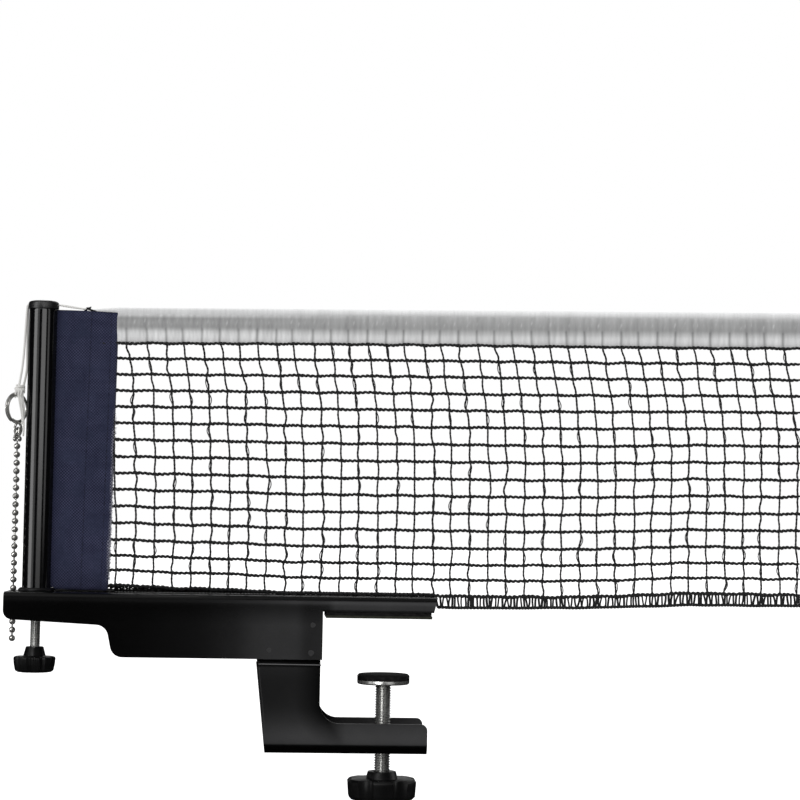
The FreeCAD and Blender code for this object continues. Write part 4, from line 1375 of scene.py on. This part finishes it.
KNOT_TAILS = [  # (x, y, z) from the knot's centre at the ring's top
    [(-0.3, -1.2, 0.5), (0.0, -1.7, -3.0), (0.7, -1.5, -7.0), (1.5, -1.2, -11.0),
     (1.9, -1.0, -14.8)],
    [(0.6, -0.9, 0.5), (1.0, -1.5, -3.5), (1.6, -1.3, -7.5), (2.2, -1.1, -12.0),
     (2.6, -1.2, -17.0), (2.5, -1.2, -21.5)],
    [(1.4, -0.4, 0.5), (1.9, -0.7, -3.5), (2.4, -0.5, -8.0), (2.5, -0.4, -12.5),
     (1.5, -0.6, -15.6)]]


def cord_knot():
    """A coil above the ring, three hitches round its top and three tails inside it."""
    mesh = MeshBuilder()
    angle = np.linspace(0, 3.4 * TAU, 170)
    tube(mesh, xyz(KNOT_CENTRE_X + 0.1 + 2.05 * np.cos(angle) * (1 - 0.10 * np.sin(angle * 0.5)),
                   1.45 * np.sin(angle),
                   RING_TOP + 0.1 + 3.3 * angle / angle[-1] + 0.3 * np.sin(angle * 1.5)),
         0.60, sides=8)
    angle = open_circle(44)
    for offset in (-1.6, 0.0, 1.5):
        x = KNOT_CENTRE_X + offset * 0.9 - 0.3
        z = RING_TOP - RING_WIRE - abs(offset) * 0.12 + 1.05
        tube(mesh, xyz(x + 0.35 * np.sin(angle), 1.75 * np.cos(angle),
                       z + 2.15 * np.sin(angle)), 0.55, sides=8, closed=True)
    for tail in KNOT_TAILS:
        path = np.array(tail) + (KNOT_CENTRE_X, 0, RING_TOP)
        tube(mesh, smooth_path(path, 50), 0.46, sides=8)
    mesh.object("cord_knot_hitches", "cord_white", "bracket", replaces="cord_knot")


def split_ring():
    """Two turns of wire, stepping outwards and sideways between them."""
    mesh = MeshBuilder()
    turn = math.radians(53.0)
    across = np.array([math.cos(turn), math.sin(turn), 0])
    normal = np.array([-math.sin(turn), math.cos(turn), 0])
    angle = np.linspace(0, 2 * TAU, 240)[:, None]
    step = np.tanh((angle - TAU) / 0.5)
    circle_point = np.cos(angle + 4.2) * across + np.sin(angle + 4.2) * np.array([0, 0, 1.0])
    path = (RING_CENTRE + np.array([0.45, 0, 0])
            + (RING_RADIUS + 0.18 + 0.40 * step) * circle_point + 0.30 * step * normal)
    tube(mesh, path, 0.55, sides=10)
    mesh.object("split_ring_turns", "chain_nickel", "bracket", replaces="split_ring")


tension_cord()
cord_knot()
split_ring()

# ------------------------------------------------------------------ bead chain
chain_low, chain_high = mm_box("bead_chain")
CHAIN_X = (chain_low[0] + chain_high[0]) / 2
clasp_low, clasp_high = mm_box("chain_clasp")
CLASP_LOW, CLASP_HIGH = clasp_low[2], clasp_high[2]
BEAD_RADIUS = 1.57
BEAD_HOLE = 0.62
CHAIN_TOP = 81.7
# Eye loops: drop below the clasp's top, half width, half height, yaw in degrees, wire radius
EYE_LOOPS = [(2.6, 1.75, 3.1, 32, 0.62), (4.4, 1.35, 2.5, -48, 0.58)]


def chain_eye():
    """Two wire loops over a pair of rounded lobes with short straps."""
    mesh = MeshBuilder()
    angle = open_circle(56)
    for drop, half_width, half_height, yaw, wire in EYE_LOOPS:
        out, turn = half_width * np.cos(angle), math.radians(yaw)
        tube(mesh, xyz(CHAIN_X + 0.2 + out * math.cos(turn), out * math.sin(turn),
                       CLASP_HIGH - drop + half_height * np.sin(angle)),
             wire, sides=9, closed=True)
    polar = np.linspace(0.03, math.pi - 0.03, 15)[:, None]
    around = circle(24)
    for side in (-1, 1):
        mesh.add(xyz(CHAIN_X + side * 1.15 + 1.05 * np.sin(polar) * np.cos(around),
                     -0.1 * side + 1.35 * np.sin(polar) * np.sin(around),
                     CLASP_LOW + 1.35 + 1.35 * np.cos(polar)),
                 grid_quads(15, 24, wrap_cols=True))
        strap = [(CHAIN_X + side * 1.3, -0.9, CLASP_LOW + 1.6),
                 (CHAIN_X + side * 1.0, -1.15, CLASP_LOW + 3.4),
                 (CHAIN_X - side * 0.5, -0.9, CLASP_LOW + 5.6)]
        tube(mesh, smooth_path(strap, 16), 0.52, sides=8)
    mesh.object("chain_end_eye", "chain_nickel", "chain", replaces="chain_clasp")


def beads(name, body, centres, up, down, replaces):
    """Hollow beads on a wire that runs on by up and down past the end beads."""
    mesh = MeshBuilder()
    hole_angle = math.asin(BEAD_HOLE / BEAD_RADIUS)
    mouth = BEAD_RADIUS * math.cos(hole_angle)
    for z in centres:
        profile = [(0.35, z + mouth - 0.5), (BEAD_HOLE - 0.1, z + mouth - 0.22)]
        profile += [(BEAD_RADIUS * math.sin(t), z + BEAD_RADIUS * math.cos(t))
                    for t in np.linspace(hole_angle, math.pi - hole_angle, 19)]
        profile += [(BEAD_HOLE - 0.1, z - mouth + 0.22), (0.35, z - mouth + 0.5)]
        lathe(mesh, profile, 28, CHAIN_X)
    wire_z = np.linspace(min(centres) - down, max(centres) + up, 4)
    tube(mesh, xyz(CHAIN_X, 0, wire_z), 0.40, sides=8, ref=(1, 0, 0.01))
    mesh.object(name, "chain_nickel", body, replaces=replaces)


chain_eye()
chain_beads = [CHAIN_TOP - 4.11 * i for i in range(18)]
beads("bead_chain_hollow", "chain", chain_beads, up=CLASP_LOW - CHAIN_TOP + 0.4,
      down=chain_beads[-1] - chain_low[2] - 0.05, replaces="bead_chain")
beads("chain_tail_hollow", "chain_end", [7.7 - 4.1 * i for i in range(6)], up=1.5, down=0.6,
      replaces="chain_tail")

# ------------------------------------------------------------------ studio floor and world
FLOOR_Z = -0.115


def studio_floor():
    """Pale floor that glows a little towards the camera and is not reflected."""
    mesh = bpy.data.meshes.new("studio_floor")
    corners = [(x, y, FLOOR_Z) for x, y in ((-9, -6), (9, -6), (9, 12), (-9, 12))]
    mesh.from_pydata(corners, [], [(0, 1, 2, 3)])
    floor = bpy.data.objects.new("studio_floor", mesh)
    scene.collection.objects.link(floor)
    mat = Material("studio_floor_pale", (0.93, 0.93, 0.93), rough=0.9, spec=0.1)
    mat.colour(mat.mix(mat.noise(scale=3, detail=2), (0.92, 0.92, 0.92), (0.95, 0.95, 0.95)))
    camera_ray = mat.node("ShaderNodeLightPath").outputs["Is Camera Ray"]
    glow = mat.node("ShaderNodeEmission")
    glow.inputs["Color"].default_value = (1, 1, 1, 1)
    mat.link(mat.mul(camera_ray, 0.55), glow.inputs["Strength"])
    both = mat.node("ShaderNodeAddShader")
    mat.link(mat.principled.outputs[0], both.inputs[0])
    mat.link(glow.outputs[0], both.inputs[1])
    mat.link(both.outputs[0], mat.tree.nodes["Material Output"].inputs["Surface"])
    mesh.materials.append(mat.data)
    floor.visible_glossy = False


def studio_world():
    """White to the camera, soft and bright to diffuse rays, dim ceiling in reflections."""
    world = bpy.data.worlds.new("studio")
    scene.world = world
    world.use_nodes = True
    sky = Shader(world.node_tree)
    background = sky.tree.nodes["Background"]
    ray = sky.node("ShaderNodeLightPath").outputs
    place = sky.node("ShaderNodeTexCoord")
    split = sky.node("ShaderNodeSeparateXYZ")
    sky.link(place.outputs["Generated"], split.inputs[0])
    height = split.outputs[2]
    ceiling = sky.remap(height, (0.35, 0.95), to=(0.006, 0.20))
    diffuse = sky.remap(height, (-0.6, 0.8), to=(0.30, 0.85))
    strength = sky.add(sky.mul(ray["Is Camera Ray"], 1.0),
                       sky.mul(ray["Is Diffuse Ray"], diffuse))
    strength = sky.add(strength, sky.mul(ray["Is Glossy Ray"], ceiling))
    sky.link(strength, background.inputs["Strength"])
    background.inputs["Color"].default_value = (1, 1, 1, 1)


studio_floor()
studio_world()


# ------------------------------------------------------------------ lights
def receivers(name, objects):
    group = bpy.data.collections.new(name)
    for member in objects:
        group.objects.link(member)
    return group


# Objects that each group of lights falls on
LIT = {
    "post_parts": ("post_tube_rolled", "post_cap"),
    "plate_parts": ("upper_bracket", "spot_welds", "jaw_step_highlight"),
    "dull_parts": ("height_knob_moulded", "clamp_knob", "post_bush"),
    "chain_parts": ("split_ring_turns", "chain_end_eye", "bead_chain_hollow",
                    "chain_tail_hollow"),
    "screw_parts": ("height_screw_thread", "clamp_spindle_thread", "clamp_weld_nut",
                    "pressure_plate", "spindle_clip"),
    "side_parts": ("upper_bracket", "lower_jaw_frame", "clamp_knob", "tongue_pad_block",
                   "tongue_grip_strip", "post_bush", "height_knob_moulded"),
    "side_parts_left": ("upper_bracket", "lower_jaw_frame", "clamp_knob", "post_bush"),
    "tape_end_parts": ("net_tape_folded",),
    "back_parts": ("upper_bracket", "lower_jaw_frame", "clamp_knob", "height_knob_moulded"),
}
groups = {name: receivers(name, [scene.objects[part] for part in parts])
          for name, parts in LIT.items()}
groups["key_parts"] = receivers("key_parts", [
    part for part in scene.objects if part.type == "MESH" and part.name != "upper_bracket"])


def panel(name, azimuth, half_deg, distance, lift, height, radiance, target, group,
          elevation=0.0):
    """Soft box seen from target under an azimuth: 0 is the viewer's side, positive right."""
    turn, tilt = math.radians(azimuth), math.radians(elevation)
    towards = Vector((math.sin(turn) * math.cos(tilt), -math.cos(turn) * math.cos(tilt),
                      math.sin(tilt)))
    width = 2 * distance * math.tan(math.radians(half_deg))
    light = bpy.data.lights.new(name, "AREA")
    light.shape = "RECTANGLE"
    light.size, light.size_y = width, height
    light.energy = radiance * math.pi * width * height
    box = bpy.data.objects.new(name, light)
    box.location = Vector(target) + towards * distance + Vector((0, 0, lift))
    box.rotation_mode = "QUATERNION"
    box.rotation_quaternion = (-towards).to_track_quat("-Z", "Y")
    box.visible_camera = False
    scene.collection.objects.link(box)
    if group is not None:
        box.light_linking.receiver_collection = groups[group]


POST = (POST_X * 0.001, 0, 0.07)
MIDDLE = (0.03, 0, 0)
MIDDLE_HIGH = (0.03, 0, 0.05)

# Upright strips on the post: name, azimuth, half width in degrees, low z, high z, radiance
for name, azimuth, half_deg, low, high, radiance in (
    ("strip_left", -55.0, 13.5, -1.2, 1.4, 4.2),
    ("strip_left_soft", -33.0, 8.0, -1.2, 1.4, 1.1),
    ("strip_front_1", 12.5, 17.0, -1.2, -0.012, 0.85),
    ("strip_front_2", 12.5, 17.0, -0.011, 0.04, 1.3),
    ("strip_front_3", 12.5, 17.0, 0.041, 0.10, 2.0),
    ("strip_front_4", 12.5, 17.0, 0.101, 1.4, 2.9),
    ("strip_right", 51.0, 7.0, 0.03, 1.4, 1.2),
):
    panel(name, azimuth, half_deg, 1.3, (low + high) / 2 - POST[2], high - low, radiance,
          POST, "post_parts")

# name, azimuth, half width in degrees, distance, lift, height, radiance, target,
# group (None lights everything), elevation in degrees
for row in (
    ("chain_fill", -25.0, 40.0, 1.6, 0.2, 2.0, 0.40, POST, "chain_parts"),
    ("chain_spark", -22.0, 7.0, 1.3, 0, 0.32, 15.0, POST, "chain_parts", 30),
    ("ring_gleam", -66.0, 5.0, 1.3, 0, 0.22, 50.0, POST, "chain_parts", 4),
    ("chain_right", 70.0, 14.0, 1.3, 0, 1.4, 0.9, POST, "chain_parts"),
    ("screw_streak", -18.0, 11.0, 1.3, 0, 2.2, 9.5, POST, "screw_parts"),
    ("screw_fill", -72.0, 24.0, 1.5, 0, 2.2, 1.1, POST, "screw_parts"),
    ("screw_right", 32.0, 14.0, 1.5, 0, 2.2, 0.9, POST, "screw_parts"),
    ("dull_left", -30.0, 17.0, 1.4, 0, 0.9, 1.5, POST, "dull_parts", 14),
    ("plate_front", 22.0, 14.0, 1.5, 0, 0.30, 0.04, MIDDLE, "plate_parts", 26),
    ("plate_corner", 0.0, 4.2, 0.42, 0, 0.06, 2.2, (-0.120, 0, 0.01), "plate_parts", 80),
    ("plate_line", 172.0, 30.0, 1.4, 0, 0.26, 0.5, (-0.04, 0, 0), "plate_parts", 56),
    ("key", -35.0, 24.0, 1.6, 0, 1.0, 0.9, MIDDLE_HIGH, "key_parts", 48),
    ("key_plate", -35.0, 24.0, 1.6, 0, 1.0, 0.16, MIDDLE_HIGH, "plate_parts", 48),
    ("side_right", 98.0, 16.0, 1.5, 0.1, 0.9, 1.1, MIDDLE, "side_parts", 12),
    ("side_left", -98.0, 16.0, 1.5, 0.1, 0.9, 0.7, (-0.1, 0, 0), "side_parts_left", 12),
    ("strip_back_a", 187.0, 6.0, 1.3, 0, 2.4, 2.2, POST, "post_parts"),
    ("strip_back_b", 166.0, 5.0, 1.3, 0, 2.4, 1.2, POST, "post_parts"),
    ("tape_end", 94.0, 5.0, 1.5, 0.15, 0.5, 1.6, (0.24, 0, 0.15), "tape_end_parts", 4),
    ("back_low", 180.0, 30.0, 1.6, -0.1, 0.5, 0.45, (0.0, 0, -0.03), "back_parts", 8),
    ("fill_back", 165.0, 28.0, 1.6, 0, 1.0, 0.7, MIDDLE_HIGH, None, 40),
):
    panel(*row)


# ------------------------------------------------------------------ camera
def studio_camera():
    lens = bpy.data.cameras.new("camera")
    lens.lens = 94.5
    lens.sensor_width = 36.0
    lens.clip_start, lens.clip_end = 0.01, 60
    camera = bpy.data.objects.new("camera", lens)
    scene.collection.objects.link(camera)
    right = Vector((0.997964, -0.061539, 0.016786))
    up = Vector((-0.020323, -0.057313, 0.998149))
    forward = Vector((0.060463, 0.996458, 0.058447))
    camera.rotation_mode = "QUATERNION"
    camera.rotation_quaternion = Matrix((right, up, -forward)).transposed().to_quaternion()
    camera.location = (-0.026645, -1.048323, 0.046955)
    scene.camera = camera
    scene.view_settings.view_transform = "Standard"
    scene.view_settings.look = "None"
    scene.view_settings.exposure = 0.0
    scene.view_settings.gamma = 1.0


studio_camera()
